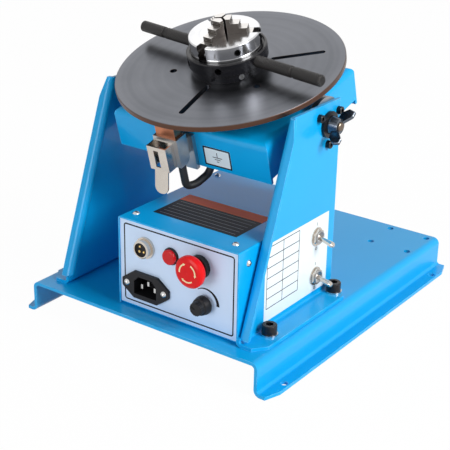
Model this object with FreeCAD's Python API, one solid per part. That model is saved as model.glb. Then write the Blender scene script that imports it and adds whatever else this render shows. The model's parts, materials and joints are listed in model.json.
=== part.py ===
"""Bench welding positioner: a folded steel base, a motor-driven tilting turntable with a scroll chuck, a control box.

Frame: +X to the operator's right, +Y to the back, +Z up, millimetres, origin on the floor at the centre of the base.
Pieces of the tilting head are drawn about the tilt axis with the head level, then turned to the stored tilt.
"""
import FreeCAD, Part
import math
import os

V = FreeCAD.Vector
X_AXIS, Y_AXIS, Z_AXIS = V(1, 0, 0), V(0, 1, 0), V(0, 0, 1)

# ---- fits and sheet thicknesses ----
THREAD_GAP = 0.05          # radial play of a screw or stud in its hole
RUNNING_GAP = 0.05         # radial play of a shaft in its bearing
GUIDE_GAP = 0.08           # beside a jaw or a block in its guides
FACE_GAP = 0.2             # between flat faces that slide past each other
CLEARANCE_HOLE = 0.3       # radial play of a screw in a drilled sheet
BOX_SHEET = 1.2

# ---- tilting frame, an open-bottomed folded box between the side plates ----
FRAME_LENGTH, FRAME_DEPTH, FRAME_TOP, FRAME_DROP, CHEEK_DROP = 162.0, 138.0, 15.0, 21.5, 17.0
FRAME_SHEET, FRAME_BEND = 2.5, 3.0
HEAD_GAP = 11.5            # from an end of the frame to its side plate
PLATE_GAP = FRAME_LENGTH + 2 * HEAD_GAP

# ---- base channel ----
BASE_LENGTH, BASE_MARGIN, BASE_HEIGHT = 316.0, 30.5, 30.0
BASE_WIDTH = PLATE_GAP + 2 * BASE_MARGIN
BASE_SHEET, BASE_BEND = 3.0, 3.0
FLOOR_FLANGE = 13.0        # reach of a floor flange past the wall
FLOOR_CHAMFER = 5.0
FLOOR_HOLE_R, FLOOR_HOLE_EDGE, FLOOR_HOLE_PITCH = 3.25, 5.0, 260.0
STAND_HOLE_R, STAND_PITCH = 3.25, 40.0
STAND_FROM_SIDE, STAND_FROM_BACK = 30.5, 28.0

# ---- side plates ----
PLATE_SHEET, PLATE_BEND = 3.0, 2.0
PLATE_TOP, PLATE_FRONT, PLATE_REAR = 207.5, -144.5, -3.5
PLATE_SLOPE = 20.0         # degrees that the front edge leans back
PLATE_FOOT, FOOT_CHAMFER = 21.0, 9.0
FOOT_SCREW_OUT, FOOT_SCREW_SPAN, FOOT_SCREW_REAR = 9.5, 101.0, 10.5
M8_R, M8_HEAD_R, M8_HEAD_H, M8_WASHER_R, M8_WASHER_T, M8_NUT_T = 4.0, 6.5, 8.0, 7.4, 1.6, 6.5
FOOT_SCREW_LENGTH = 20.0

# ---- tilt axis and its hardware ----
PIVOT_FORWARD, PIVOT_HEIGHT, TILT_DEG = 22.0, 189.0, 16.0
PIVOT = V(0, -PIVOT_FORWARD, PIVOT_HEIGHT)
BUSH_FLANGE_R, BUSH_FLANGE_T, BUSH_BOSS_R = 23.0, 5.0, 12.0
BUSH_SCREW_R, BUSH_SCREW_CIRCLE, BUSH_SCREW_HEAD_R, BUSH_SCREW_HEAD_H = 2.0, 17.5, 3.5, 4.0
BUSH_SCREW_ANGLES = (30.0, 150.0, 270.0)
PIVOT_WASHER_R, PIVOT_WASHER_T, LOCK_WASHER_R, LOCK_WASHER_T = 11.5, 2.4, 8.0, 2.0
PIVOT_HEAD_R, PIVOT_HEAD_H = 7.5, 5.0
WING_HUB_R, WING_HUB_H, WING_SPAN, WING_RISE, WING_T = 7.0, 7.0, 36.0, 14.0, 3.2
WING_ANGLE = 40.0
STUD_PROUD = 1.5

# ---- turntable ----
DISC_R, DISC_T, DISC_TOP, DISC_CHAMFER = 100.5, 5.0, 38.0, 0.6
SLOT_WIDTH, SLOT_INNER, SLOT_OUTER, SLOT_PHASE = 5.0, 38.0, 80.5, -84.0
WORK_HOLE_R, WORK_HOLE_CIRCLE, WORK_HOLE_PHASE = 3.2, 49.0, -147.0
SPINDLE_R, SPINDLE_FLANGE_R, SPINDLE_FLANGE_T = 6.0, 29.0, 3.0
DISC_SCREW_R, DISC_SCREW_CIRCLE, DISC_SCREW_HEAD_R, DISC_SCREW_HEAD_H = 2.5, 23.0, 4.25, 2.8
BEARING_R, BEARING_T, BEARING_SPACER = 12.0, 5.4, 0.8
HOUSING_BOSS_R, HOUSING_FLANGE_R, HOUSING_FLANGE_T = 16.0, 34.0, 4.0
HOUSING_SCREW_CIRCLE = 28.0

# ---- gear motor ----
GEARBOX_LENGTH, GEARBOX_WIDTH, GEARBOX_HEIGHT = 58.0, 40.0, 29.0
OUTPUT_FROM_END, OUTPUT_R, OUTPUT_RISE = 20.0, 4.0, 10.0
MOTOR_R, MOTOR_NOSE, MOTOR_END_GAP = 13.5, 2.0, 3.0
MOTOR_LENGTH = (FRAME_LENGTH / 2.0 - FRAME_SHEET - PIVOT_HEAD_H - MOTOR_END_GAP - MOTOR_NOSE
                - (GEARBOX_LENGTH - OUTPUT_FROM_END))
GEARBOX_SCREW_INSET = 4.5
M4_R, M4_HEAD_R, M4_HEAD_H, M4_LENGTH = 2.0, 3.5, 2.4, 6.0      # the low-headed screws of the tilting frame

# ---- scroll chuck ----
BACKPLATE_R, BACKPLATE_T, CHUCK_BORE_R = 32.5, 6.5, 8.0
SET_SCREW_R, SET_SCREW_LENGTH = 2.5, 5.0
RING_R, RING_T, RING_CHAMFER = 35.0, 12.0, 0.8
CHUCK_R, CHUCK_T, CORE_R = 31.0, 13.5, 12.0
JAW_WIDTH, JAW_LENGTH, JAW_INNER, JAW_RISE, JAW_STEPS = 9.0, 24.0, 1.2, 13.0, 3
JAW_PHASE, JAW_LIFT = -95.0, 0.3
SCROLL_PITCH, SCROLL_OUTER, SCROLL_INNER, SCROLL_GROOVE, SCROLL_DEPTH = 3.0, 32.7, 13.7, 1.7, 1.8
TOOTH_T, TOOTH_HALF, TOOTH_START, TEETH = 0.9, 2.2, 14.2, 2
GUIDE_DEPTH, GUIDE_HEIGHT, GUIDE_LEVEL = 1.2, 2.4, 6.0
HANDLE_R, HANDLE_REACH, HANDLE_SPIGOT_R, HANDLE_PHASE, BAR_HOLES = 5.0, 105.0, 3.0, -7.7, 6
HANDLE_GROOVE_AT, HANDLE_GROOVE_W, HANDLE_GROOVE_D = 75.0, 2.0, 1.0
KEY_HOLE_R, KEY_HOLE_DEPTH = 3.0, 6.0

# ---- earth brush, carried on the front wall of the tilting frame ----
BRUSH_RIGHT, BRUSH_WIDTH = 7.0, 25.0
BRACKET_T, BRACKET_TOP, BRACKET_BOTTOM = 4.0, 10.0, -23.5
HOLDER_STANDOFF, HOLDER_DEPTH, HOLDER_TOP, HOLDER_BOTTOM = 6.0, 13.0, 16.5, -10.5
COPPER_WIDTH, COPPER_DEPTH, COPPER_STROKE = 20.0, 9.0, 2.0
SPRING_R, SPRING_WIRE_R, SPRING_TURNS = 3.0, 0.5, 4
SPRING_LENGTHS = 12                   # straight lengths of wire in one turn of the spring
CLIP_WIDTH, CLIP_DEPTH, CLIP_TOP, CLIP_BOTTOM, CLIP_SHEET = 20.0, 11.0, 13.3, -9.5, 1.2
TONGUE_WIDTH, TONGUE_LENGTH, TONGUE_LEAN = 14.0, 20.0, 16.0
LEAD_R = 3.4

# ---- control box ----
CASE_WIDTH, CASE_DEPTH, CASE_HEIGHT, CASE_FRONT, CASE_SIDE_GAP = 126.0, 141.0, 81.6, -141.0, 0.5
CASE_LIP, CASE_SCREW_IN = 14.0, 12.5
PAN_SCREW_R, PAN_HEAD_R, PAN_HEAD_H, PAN_SCREW_LENGTH = 1.5, 3.0, 2.0, 6.0

# ---- controls: each control's place is across from the box's left side and up from the base ----
SOCKET_ACROSS, SOCKET_UP, LAMP_ACROSS, LAMP_UP, STOP_ACROSS, STOP_UP = 29.4, 60.0, 56.8, 59.8, 86.8, 59.2
INLET_ACROSS, INLET_UP, SPEED_ACROSS, SPEED_UP = 30.2, 23.3, 92.8, 27.2
SWITCH_FROM_REAR, SWITCH_UPS = 31.7, (60.0, 22.5)
SOCKET_THREAD_R, SOCKET_FLANGE_R, SOCKET_REACH = 7.7, 9.5, 7.5
SOCKET_PIN_R, SOCKET_PINS = 1.2, [(-2.1, 2.1), (2.1, -2.1)]
LAMP_THREAD_R, LAMP_BEZEL_R, LAMP_LENS_R, LAMP_REACH = 5.9, 7.6, 6.6, 5.0
STOP_THREAD_R, STOP_COLLAR_R, STOP_COLLAR_T, STOP_HEAD_R, STOP_HEAD_T = 7.9, 10.2, 4.5, 13.9, 9.5
STOP_TRAVEL, STOP_BODY, STOP_STEM_R, STOP_SPIGOT_R, STOP_SPIGOT = 3.0, 18.0, 4.0, 3.0, 5.0
SPEED_BUSH_R, SPEED_SHAFT_R, KNOB_SKIRT_R, KNOB_GRIP_R, KNOB_HEIGHT, KNOB_REST_TURN = 4.6, 3.0, 8.3, 5.6, 15.0, 60.0
INLET_BODY_W, INLET_BODY_H, INLET_FLANGE_T, INLET_PITCH = 27.4, 20.0, 3.0, 40.0
INLET_FLANGE_W, INLET_FLANGE_H, INLET_RECESS_W, INLET_RECESS_H, INLET_RECESS_D = 50.0, 25.0, 24.4, 16.6, 17.0
INLET_PINS, INLET_PIN_SET_BACK = [(-7.0, -2.2), (7.0, -2.2), (0.0, 2.0)], 4.6
SWITCH_BUSH_R, SWITCH_BUSH_REACH, SWITCH_LEVER_R, SWITCH_LEVER_OUT, SWITCH_THROW = 5.9, 4.4, 2.1, 18.5, 14.0
SWITCH_BALL_R, SWITCH_BALL_GAP, SWITCH_BALL_DEPTH = 2.8, 0.3, 3.6
BOARD_FROM_SIDE, BOARD_FROM_REAR, BOARD_WIDTH, BOARD_DEPTH, BOARD_LEVEL, BOARD_T = 10.0, 12.0, 60.0, 80.0, 12.0, 1.6


# =====================================================================  shape helpers

def block(x0, x1, y0, y1, z0, z1):
    """A box between two corners."""
    return Part.makeBox(x1 - x0, y1 - y0, z1 - z0, V(x0, y0, z0))


def rod(start, axis, radius, length):
    """A solid cylinder from a start point along an axis."""
    return Part.makeCylinder(radius, length, start, axis)


def tube(start, axis, outer, inner, length):
    """A hollow cylinder."""
    return rod(start, axis, outer, length).cut(rod(start, axis, inner, length))


def prism(points, sweep):
    """A flat polygon of 3-D points pushed along a vector."""
    return Part.Face(Part.makePolygon(points + [points[0]])).extrude(sweep)


def turned(profile, start, axis):
    """A solid of revolution from (radius, height) pairs, standing on a start point along an axis."""
    wire = Part.makePolygon([V(r, 0, h) for r, h in profile + [profile[0]]])
    solid = Part.Face(wire).revolve(V(0, 0, 0), Z_AXIS, 360)
    solid.Placement = FreeCAD.Placement(start, FreeCAD.Rotation(Z_AXIS, axis))
    return solid


def hexagon(start, axis, across_flats, height):
    """A hexagonal prism such as a nut blank."""
    corner = across_flats / math.sqrt(3.0)
    points = [polar(corner, 60 * k) for k in range(6)]
    solid = prism(points, V(0, 0, height))
    solid.Placement = FreeCAD.Placement(start, FreeCAD.Rotation(Z_AXIS, axis))
    return solid


def polar(radius, degrees, height=0.0):
    """A point at a radius and angle about the Z axis."""
    angle = math.radians(degrees)
    return V(radius * math.cos(angle), radius * math.sin(angle), height)


def turned_about_z(shape, degrees):
    """A copy turned about the Z axis."""
    copy = shape.copy()
    copy.rotate(V(0, 0, 0), Z_AXIS, degrees)
    return copy


def mirrored_x(shape):
    """The same piece on the other side of the middle plane."""
    return shape.mirror(V(0, 0, 0), X_AXIS)


def cut_all(shape, tools):
    """A shape with every tool taken out of it, in one piece."""
    return shape.cut(tools).removeSplitter()


def edges_where(shape, test):
    """The edges whose two ends and middle all pass a test."""
    picked = []
    for edge in shape.Edges:
        first, last = edge.ParameterRange
        if all(test(edge.valueAt(first + (last - first) * share)) for share in (0.0, 0.5, 1.0)):
            picked.append(edge)
    return picked


def bent_strip(points, thickness, inside_radius, width):
    """Folded sheet: a centre line of (x, z) points with rounded folds, thickened, and pushed along +Y."""
    centre = inside_radius + thickness / 2.0
    sides = []
    for side in (1.0, -1.0):
        edges, last = [], None
        for index, (x, z) in enumerate(points):
            here = V(x, 0, z)
            if index in (0, len(points) - 1):
                other = V(*_flat(points[1] if index == 0 else points[-2]))
                along = (other - here) if index == 0 else (here - other)
                along.normalize()
                spot = here + V(-along.z, 0, along.x) * (side * thickness / 2.0)
                if last is not None:
                    edges.append(Part.LineSegment(last, spot).toShape())
                last = spot
                continue
            before, after = here - V(*_flat(points[index - 1])), V(*_flat(points[index + 1])) - here
            before.normalize()
            after.normalize()
            turn = math.atan2(before.x * after.z - before.z * after.x, before.dot(after))
            setback = centre * math.tan(abs(turn) / 2.0)
            start, end = here - before * setback, here + after * setback
            hub = start + V(-before.z, 0, before.x) * math.copysign(centre, turn)
            radius = centre - side * math.copysign(thickness / 2.0, turn)
            reach = radius / centre
            first, final = hub + (start - hub) * reach, hub + (end - hub) * reach
            middle_ray = (start + end) * 0.5 - hub
            middle_ray.normalize()
            edges.append(Part.LineSegment(last, first).toShape())
            edges.append(Part.Arc(first, hub + middle_ray * radius, final).toShape())
            last = final
        sides.append(edges)
    left, right = sides
    caps = [Part.LineSegment(left[-1].Vertexes[-1].Point, right[-1].Vertexes[-1].Point).toShape(),
            Part.LineSegment(left[0].Vertexes[0].Point, right[0].Vertexes[0].Point).toShape()]
    wire = Part.Wire(Part.__sortEdges__(left + right + caps))
    return Part.Face(wire).extrude(V(0, width, 0))


def _flat(pair):
    """A (x, z) pair as the three coordinates of a vector."""
    return pair[0], 0, pair[1]


def cap_screw(head_seat, axis, radius, length, head_r, head_h, key_share=0.45):
    """A socket-head screw: the head stands on its seat, and the shank runs back from it along -axis."""
    head = rod(head_seat, axis, head_r, head_h)
    head = head.makeChamfer(head_h * 0.08, edges_where(head, lambda p: (p - head_seat).dot(axis) > head_h * 0.99))
    key = hexagon(head_seat + axis * (head_h * (1 - key_share)), axis, head_r * 0.95, head_h)
    return head.cut(key).fuse(rod(head_seat - axis * length, axis, radius, length)).removeSplitter()


def pan_screw(head_seat, axis):
    """A small domed panel screw with a cross recess."""
    dome_r = (PAN_HEAD_R ** 2 + PAN_HEAD_H ** 2) / (2 * PAN_HEAD_H)
    ball = Part.makeSphere(dome_r, head_seat + axis * (PAN_HEAD_H - dome_r))
    head = ball.common(rod(head_seat, axis, PAN_HEAD_R, PAN_HEAD_H))
    cross = [block(-a, a, -b, b, PAN_HEAD_H * 0.5, PAN_HEAD_H * 2) for a, b in ((1.6, 0.35), (0.35, 1.6))]
    for arm in cross:
        arm.Placement = FreeCAD.Placement(head_seat, FreeCAD.Rotation(Z_AXIS, axis))
    shank = rod(head_seat - axis * PAN_SCREW_LENGTH, axis, PAN_SCREW_R, PAN_SCREW_LENGTH)
    return head.cut(cross).fuse(shank).removeSplitter()


def on_head(shape):
    """Turn a piece of the tilting head, drawn level about the tilt axis, to its stored place."""
    placed = shape.copy()
    placed.rotate(V(0, 0, 0), X_AXIS, TILT_DEG)
    placed.translate(PIVOT)
    return placed


# =====================================================================  base and side plates

PLATE_INNER = PLATE_GAP / 2.0
PLATE_OUTER = PLATE_INNER + PLATE_SHEET
FOOT_SCREW_X = PLATE_OUTER + FOOT_SCREW_OUT
FOOT_SCREW_YS = (PLATE_REAR - FOOT_SCREW_REAR, PLATE_REAR - FOOT_SCREW_REAR - FOOT_SCREW_SPAN)
FOOT_SCREWS = [(side * FOOT_SCREW_X, y) for side in (-1, 1) for y in FOOT_SCREW_YS]
FLOOR_HOLE_X = BASE_WIDTH / 2.0 + FLOOR_FLANGE - FLOOR_HOLE_EDGE
STAND_CENTRE = V(BASE_WIDTH / 2.0 - STAND_FROM_SIDE, BASE_LENGTH / 2.0 - STAND_FROM_BACK, 0)
CASE_RIGHT = PLATE_INNER - CASE_SIDE_GAP
CASE_LEFT = CASE_RIGHT - CASE_WIDTH
CASE_REAR = CASE_FRONT + CASE_DEPTH
CASE_TOP = BASE_HEIGHT + CASE_HEIGHT
CASE_MOUNTS = [(x, y) for x in (CASE_LEFT + 20.0, CASE_RIGHT - 20.0) for y in (CASE_FRONT + 35.0, CASE_REAR - 20.0)]


def control_at(across, up):
    """A control's place on the box's front."""
    return V(CASE_LEFT + across, 0, BASE_HEIGHT + up)


SOCKET_AT, LAMP_AT = control_at(SOCKET_ACROSS, SOCKET_UP), control_at(LAMP_ACROSS, LAMP_UP)
STOP_AT, INLET_AT = control_at(STOP_ACROSS, STOP_UP), control_at(INLET_ACROSS, INLET_UP)
SPEED_AT = control_at(SPEED_ACROSS, SPEED_UP)
SWITCH_Y, SWITCH_LEVELS = CASE_REAR - SWITCH_FROM_REAR, [BASE_HEIGHT + up for up in SWITCH_UPS]
SWITCH_BUSH_END = PLATE_OUTER + SWITCH_BUSH_REACH
SWITCH_BALL_X = SWITCH_BUSH_END - SWITCH_BALL_DEPTH


def base_plate():
    """The folded channel that everything stands on, with its floor flanges and bolt holes."""
    half, mid = BASE_WIDTH / 2.0, BASE_SHEET / 2.0
    line = [(-half - FLOOR_FLANGE, mid), (-half + mid, mid), (-half + mid, BASE_HEIGHT - mid),
            (half - mid, BASE_HEIGHT - mid), (half - mid, mid), (half + FLOOR_FLANGE, mid)]
    channel = bent_strip(line, BASE_SHEET, BASE_BEND, BASE_LENGTH)
    channel.translate(V(0, -BASE_LENGTH / 2.0, 0))
    edge, end = half + FLOOR_FLANGE, BASE_LENGTH / 2.0
    cuts = []
    for sx in (-1, 1):
        for sy in (-1, 1):
            corner = [V(sx * edge, sy * end, -1), V(sx * (edge - FLOOR_CHAMFER), sy * end, -1),
                      V(sx * edge, sy * (end - 3 * FLOOR_CHAMFER), -1)]
            cuts.append(prism(corner, V(0, 0, BASE_SHEET + 2)))
            bolt = V(sx * FLOOR_HOLE_X, sy * FLOOR_HOLE_PITCH / 2.0, -1)
            cuts.append(rod(bolt, Z_AXIS, FLOOR_HOLE_R, BASE_SHEET + 2))
            spot = STAND_CENTRE + V(sx * STAND_PITCH / 2.0, sy * STAND_PITCH / 2.0, BASE_HEIGHT - BASE_SHEET - 1)
            cuts.append(rod(spot, Z_AXIS, STAND_HOLE_R, BASE_SHEET + 2))
    under = BASE_HEIGHT - BASE_SHEET - 1
    cuts += [rod(V(x, y, under), Z_AXIS, M8_R + CLEARANCE_HOLE, BASE_SHEET + 2) for x, y in FOOT_SCREWS]
    cuts += [rod(V(x, y, under), Z_AXIS, PAN_SCREW_R + CLEARANCE_HOLE, BASE_SHEET + 2) for x, y in CASE_MOUNTS]
    return cut_all(channel, cuts)


def plate_front(z):
    """The y of a side plate's leaning front edge at a height."""
    return PLATE_FRONT + (z - BASE_HEIGHT) * math.tan(math.radians(PLATE_SLOPE))


def side_plate(switch_holes):
    """The right-hand side plate: a web with a leaning front edge, and a foot folded outwards."""
    mid = (PLATE_INNER + PLATE_OUTER) / 2.0
    fold = PLATE_SHEET + PLATE_BEND
    foot_z = BASE_HEIGHT + PLATE_SHEET / 2.0
    foot = bent_strip([(mid, BASE_HEIGHT + fold + 2.0), (mid, foot_z), (PLATE_OUTER + PLATE_FOOT, foot_z)],
                      PLATE_SHEET, PLATE_BEND, PLATE_REAR - PLATE_FRONT)
    foot.translate(V(0, PLATE_FRONT, 0))
    low = BASE_HEIGHT + fold + 1.0
    web = prism([V(PLATE_INNER, plate_front(low) + fold, low),
                 V(PLATE_INNER, plate_front(PLATE_TOP) + fold, PLATE_TOP),
                 V(PLATE_INNER, PLATE_REAR, PLATE_TOP), V(PLATE_INNER, PLATE_REAR, low)], V(PLATE_SHEET, 0, 0))
    body = foot.fuse(web).removeSplitter()
    outer = PLATE_OUTER + PLATE_FOOT
    cuts = [prism([V(outer, y, BASE_HEIGHT - 1), V(outer - FOOT_CHAMFER, y, BASE_HEIGHT - 1),
                   V(outer, y + step * FOOT_CHAMFER * 1.35, BASE_HEIGHT - 1)], V(0, 0, PLATE_SHEET + 2))
            for y, step in ((PLATE_FRONT, 1), (PLATE_REAR, -1))]
    cuts += [rod(V(FOOT_SCREW_X, y, BASE_HEIGHT - 1), Z_AXIS, M8_R + CLEARANCE_HOLE, PLATE_SHEET + 2)
             for y in FOOT_SCREW_YS]
    cuts.append(rod(V(PLATE_INNER - 1, PIVOT.y, PIVOT.z), X_AXIS, M8_R + 2 * CLEARANCE_HOLE, PLATE_SHEET + 2))
    for angle in BUSH_SCREW_ANGLES:
        spot = polar(BUSH_SCREW_CIRCLE, angle)
        cuts.append(rod(V(PLATE_INNER - 1, PIVOT.y + spot.x, PIVOT.z + spot.y), X_AXIS,
                        BUSH_SCREW_R + CLEARANCE_HOLE, PLATE_SHEET + 2))
    if switch_holes:
        cuts += [rod(V(PLATE_INNER - 1, SWITCH_Y, z), X_AXIS, SWITCH_BUSH_R + CLEARANCE_HOLE, PLATE_SHEET + 2)
                 for z in SWITCH_LEVELS]
    return cut_all(body, cuts)


def foot_screws():
    """Socket-head screws that hold the side plates down."""
    seat = BASE_HEIGHT + PLATE_SHEET + M8_WASHER_T
    return [cap_screw(V(x, y, seat), Z_AXIS, M8_R, FOOT_SCREW_LENGTH, M8_HEAD_R, M8_HEAD_H) for x, y in FOOT_SCREWS]


def foot_washers():
    """Washers under the foot screws' heads."""
    seat = BASE_HEIGHT + PLATE_SHEET
    return [tube(V(x, y, seat), Z_AXIS, M8_WASHER_R, M8_R + CLEARANCE_HOLE, M8_WASHER_T) for x, y in FOOT_SCREWS]


def foot_nuts():
    """Hexagon nuts under the base."""
    top = BASE_HEIGHT - BASE_SHEET
    return [hexagon(V(x, y, top - M8_NUT_T), Z_AXIS, 2 * M8_HEAD_R, M8_NUT_T).cut(
        rod(V(x, y, top - M8_NUT_T - 1), Z_AXIS, M8_R + THREAD_GAP, M8_NUT_T + 2)) for x, y in FOOT_SCREWS]


# =====================================================================  tilt axis

FRAME_SIDE = FRAME_LENGTH / 2.0
BUSH_INNER = FRAME_SIDE + FACE_GAP
WASHER_START = PLATE_OUTER + FACE_GAP
NUT_START = WASHER_START + PIVOT_WASHER_T + LOCK_WASHER_T


def pivot_bush():
    """The flanged bush that carries one pivot bolt, drawn on the right about the tilt axis."""
    profile = [(M8_R + RUNNING_GAP, 0), (BUSH_BOSS_R, 0), (BUSH_BOSS_R, PLATE_INNER - BUSH_FLANGE_T - BUSH_INNER),
               (BUSH_FLANGE_R, PLATE_INNER - BUSH_FLANGE_T - BUSH_INNER), (BUSH_FLANGE_R, PLATE_INNER - BUSH_INNER),
               (M8_R + RUNNING_GAP, PLATE_INNER - BUSH_INNER)]
    bush = turned(profile, V(BUSH_INNER, 0, 0), X_AXIS)
    holes = []
    for angle in BUSH_SCREW_ANGLES:
        spot = polar(BUSH_SCREW_CIRCLE, angle)
        holes.append(rod(V(BUSH_INNER - 1, spot.x, spot.y), X_AXIS, BUSH_SCREW_R + THREAD_GAP, PLATE_GAP))
    return cut_all(bush, holes)


def pivot_bush_screws():
    """Three screws of the right-hand bush, their heads outside the side plate."""
    screws = []
    for angle in BUSH_SCREW_ANGLES:
        spot = polar(BUSH_SCREW_CIRCLE, angle)
        screws.append(cap_screw(V(PLATE_OUTER, spot.x, spot.y), X_AXIS, BUSH_SCREW_R, PLATE_SHEET + BUSH_FLANGE_T,
                                BUSH_SCREW_HEAD_R, BUSH_SCREW_HEAD_H))
    return screws


def pivot_bolt():
    """The right-hand bolt: its head inside the tilting frame, its end through the wing nut."""
    head_seat = FRAME_SIDE - FRAME_SHEET
    end = NUT_START + WING_HUB_H + STUD_PROUD
    bolt = rod(V(head_seat, 0, 0), X_AXIS, M8_R, end - head_seat)
    bolt = bolt.makeChamfer(0.8, edges_where(bolt, lambda p: p.x > end - 0.01))
    return bolt.fuse(hexagon(V(head_seat - PIVOT_HEAD_H, 0, 0), X_AXIS, 2 * PIVOT_HEAD_R * 0.87, PIVOT_HEAD_H)
                     ).removeSplitter()


def pivot_washer():
    """The large washer that rubs on the side plate."""
    return tube(V(WASHER_START, 0, 0), X_AXIS, PIVOT_WASHER_R, M8_R + CLEARANCE_HOLE, PIVOT_WASHER_T)


def lock_washer():
    """The split washer between the large washer and the wing nut."""
    ring = tube(V(WASHER_START + PIVOT_WASHER_T, 0, 0), X_AXIS, LOCK_WASHER_R, M8_R + CLEARANCE_HOLE, LOCK_WASHER_T)
    slit = block(0, 2 * NUT_START, M8_R, LOCK_WASHER_R + 1, -0.5, 0.5)
    return ring.cut(slit)


def wing_nut():
    """A wing nut for the right-hand bolt, drawn about the tilt axis."""
    hub = Part.makeCone(WING_HUB_R + 1.0, WING_HUB_R - 0.5, WING_HUB_H, V(NUT_START, 0, 0), X_AXIS)
    wings = []
    for side in (1, -1):
        root, tip = WING_HUB_R * 0.5, WING_SPAN / 2.0
        outline = [V(NUT_START + 1.0, side * root, 0), V(NUT_START + 3.0, side * (tip - 5.0), 0),
                   V(NUT_START + WING_RISE * 0.6, side * tip, 0), V(NUT_START + WING_RISE, side * (tip - 1.5), 0),
                   V(NUT_START + WING_RISE, side * (tip - 6.0), 0), V(NUT_START + WING_HUB_H, side * root, 0)]
        wing = prism([p - V(0, 0, WING_T / 2.0) for p in outline], V(0, 0, WING_T))
        tips = edges_where(wing, lambda p: abs(p.y) > tip - 6.1 and p.x > NUT_START + WING_RISE * 0.55)
        wings.append(wing.makeFillet(1.2, [e for e in tips if e.Length > 1.0]))
    nut = hub.fuse(wings).cut(rod(V(NUT_START - 1, 0, 0), X_AXIS, M8_R + THREAD_GAP, 2 * WING_HUB_H))
    nut.rotate(V(0, 0, 0), X_AXIS, WING_ANGLE - TILT_DEG)
    return nut.removeSplitter()


# =====================================================================  tilting frame and drive

DISC_UNDER = DISC_TOP - DISC_T
SPINDLE_FLANGE_UNDER = DISC_UNDER - SPINDLE_FLANGE_T
HOUSING_TOP = SPINDLE_FLANGE_UNDER - 2 * FACE_GAP
FRAME_INSIDE_TOP = FRAME_TOP - FRAME_SHEET
FRONT_WALL = -FRAME_DEPTH / 2.0
BEARING_STARTS = (FRAME_TOP + 0.3, FRAME_TOP + 0.3 + BEARING_T + BEARING_SPACER)
GEARBOX_X0 = -OUTPUT_FROM_END
GEARBOX_SCREWS = [(GEARBOX_X0 + dx, s * (GEARBOX_WIDTH / 2.0 - GEARBOX_SCREW_INSET))
                  for dx in (GEARBOX_SCREW_INSET, GEARBOX_LENGTH - GEARBOX_SCREW_INSET) for s in (-1, 1)]
MOTOR_CENTRE = V(GEARBOX_X0 + GEARBOX_LENGTH, GEARBOX_WIDTH / 2.0 - MOTOR_R * 0.4, FRAME_INSIDE_TOP - MOTOR_R - 1.0)
HOUSING_SCREW_ANGLES = (0.0, 90.0, 180.0, 270.0)
DISC_SCREW_ANGLES = (30.0, 150.0, 270.0)
BRACKET_LEFT = BRUSH_RIGHT - BRUSH_WIDTH
BRACKET_SCREW = V((BRACKET_LEFT + BRUSH_RIGHT) / 2.0, 0, BRACKET_BOTTOM + 8.0)


def tilt_frame():
    """The open-bottomed folded box that carries the drive and the turntable."""
    hx, hy = FRAME_LENGTH / 2.0, FRAME_DEPTH / 2.0
    outer = block(-hx, hx, -hy, hy, -FRAME_DROP, FRAME_TOP)
    bend = FRAME_BEND + FRAME_SHEET
    outer = outer.makeFillet(bend, edges_where(outer, lambda p: p.z > FRAME_TOP - 0.01))
    t = FRAME_SHEET
    inner = block(-hx + t, hx - t, -hy + t, hy - t, -FRAME_DROP - 1, FRAME_TOP - t)
    inner = inner.makeFillet(FRAME_BEND, edges_where(inner, lambda p: p.z > FRAME_TOP - t - 0.01))
    cuts = [inner, rod(V(0, 0, 0), Z_AXIS, BEARING_R + 1.0, FRAME_TOP + 1)]
    for side in (-1, 1):
        x0, x1 = sorted((side * (hx - t - 1), side * (hx + 1)))
        cuts.append(block(x0, x1, -hy + t, hy - t, -FRAME_DROP - 1, -CHEEK_DROP))
        cuts.append(rod(V(side * (hx + 1), 0, 0), X_AXIS * -side, M8_R + THREAD_GAP, t + 2))
        for end in (-1, 1):
            cuts.append(rod(V(side * (hx - t / 2.0), end * (hy - t / 2.0), -FRAME_DROP - 1), Z_AXIS, 0.9,
                            FRAME_DROP + 1 + FRAME_TOP - bend))
    for angle in HOUSING_SCREW_ANGLES:
        cuts.append(rod(polar(HOUSING_SCREW_CIRCLE, angle), Z_AXIS, M4_R + THREAD_GAP, FRAME_TOP + 1))
    cuts += [rod(V(x, y, 0), Z_AXIS, M4_R + CLEARANCE_HOLE, FRAME_TOP + 1) for x, y in GEARBOX_SCREWS]
    cuts.append(rod(V(BRACKET_SCREW.x, -hy - 1, BRACKET_SCREW.z), Y_AXIS, M4_R + THREAD_GAP, t + 2))
    return cut_all(outer, cuts)


def bearing_housing():
    """The flanged housing on the frame's top that holds both spindle bearings."""
    seat = BEARING_R + THREAD_GAP
    lip = BEARING_R - 1.5
    top = HOUSING_TOP - FRAME_TOP
    profile = [(lip, 0), (HOUSING_FLANGE_R, 0), (HOUSING_FLANGE_R, HOUSING_FLANGE_T),
               (HOUSING_BOSS_R + 2.0, HOUSING_FLANGE_T), (HOUSING_BOSS_R, HOUSING_FLANGE_T + 3.0),
               (HOUSING_BOSS_R, top), (seat, top), (seat, 0.3), (lip, 0.3)]
    housing = turned(profile, V(0, 0, FRAME_TOP), Z_AXIS)
    holes = [rod(polar(HOUSING_SCREW_CIRCLE, a, FRAME_TOP - 1), Z_AXIS, M4_R + CLEARANCE_HOLE,
                 HOUSING_FLANGE_T + 2) for a in HOUSING_SCREW_ANGLES]
    holes += [rod(V(x, y, FRAME_TOP - 1), Z_AXIS, M4_HEAD_R + CLEARANCE_HOLE, HOUSING_FLANGE_T + 2)
              for x, y in GEARBOX_SCREWS]
    return cut_all(housing, holes)


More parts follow.
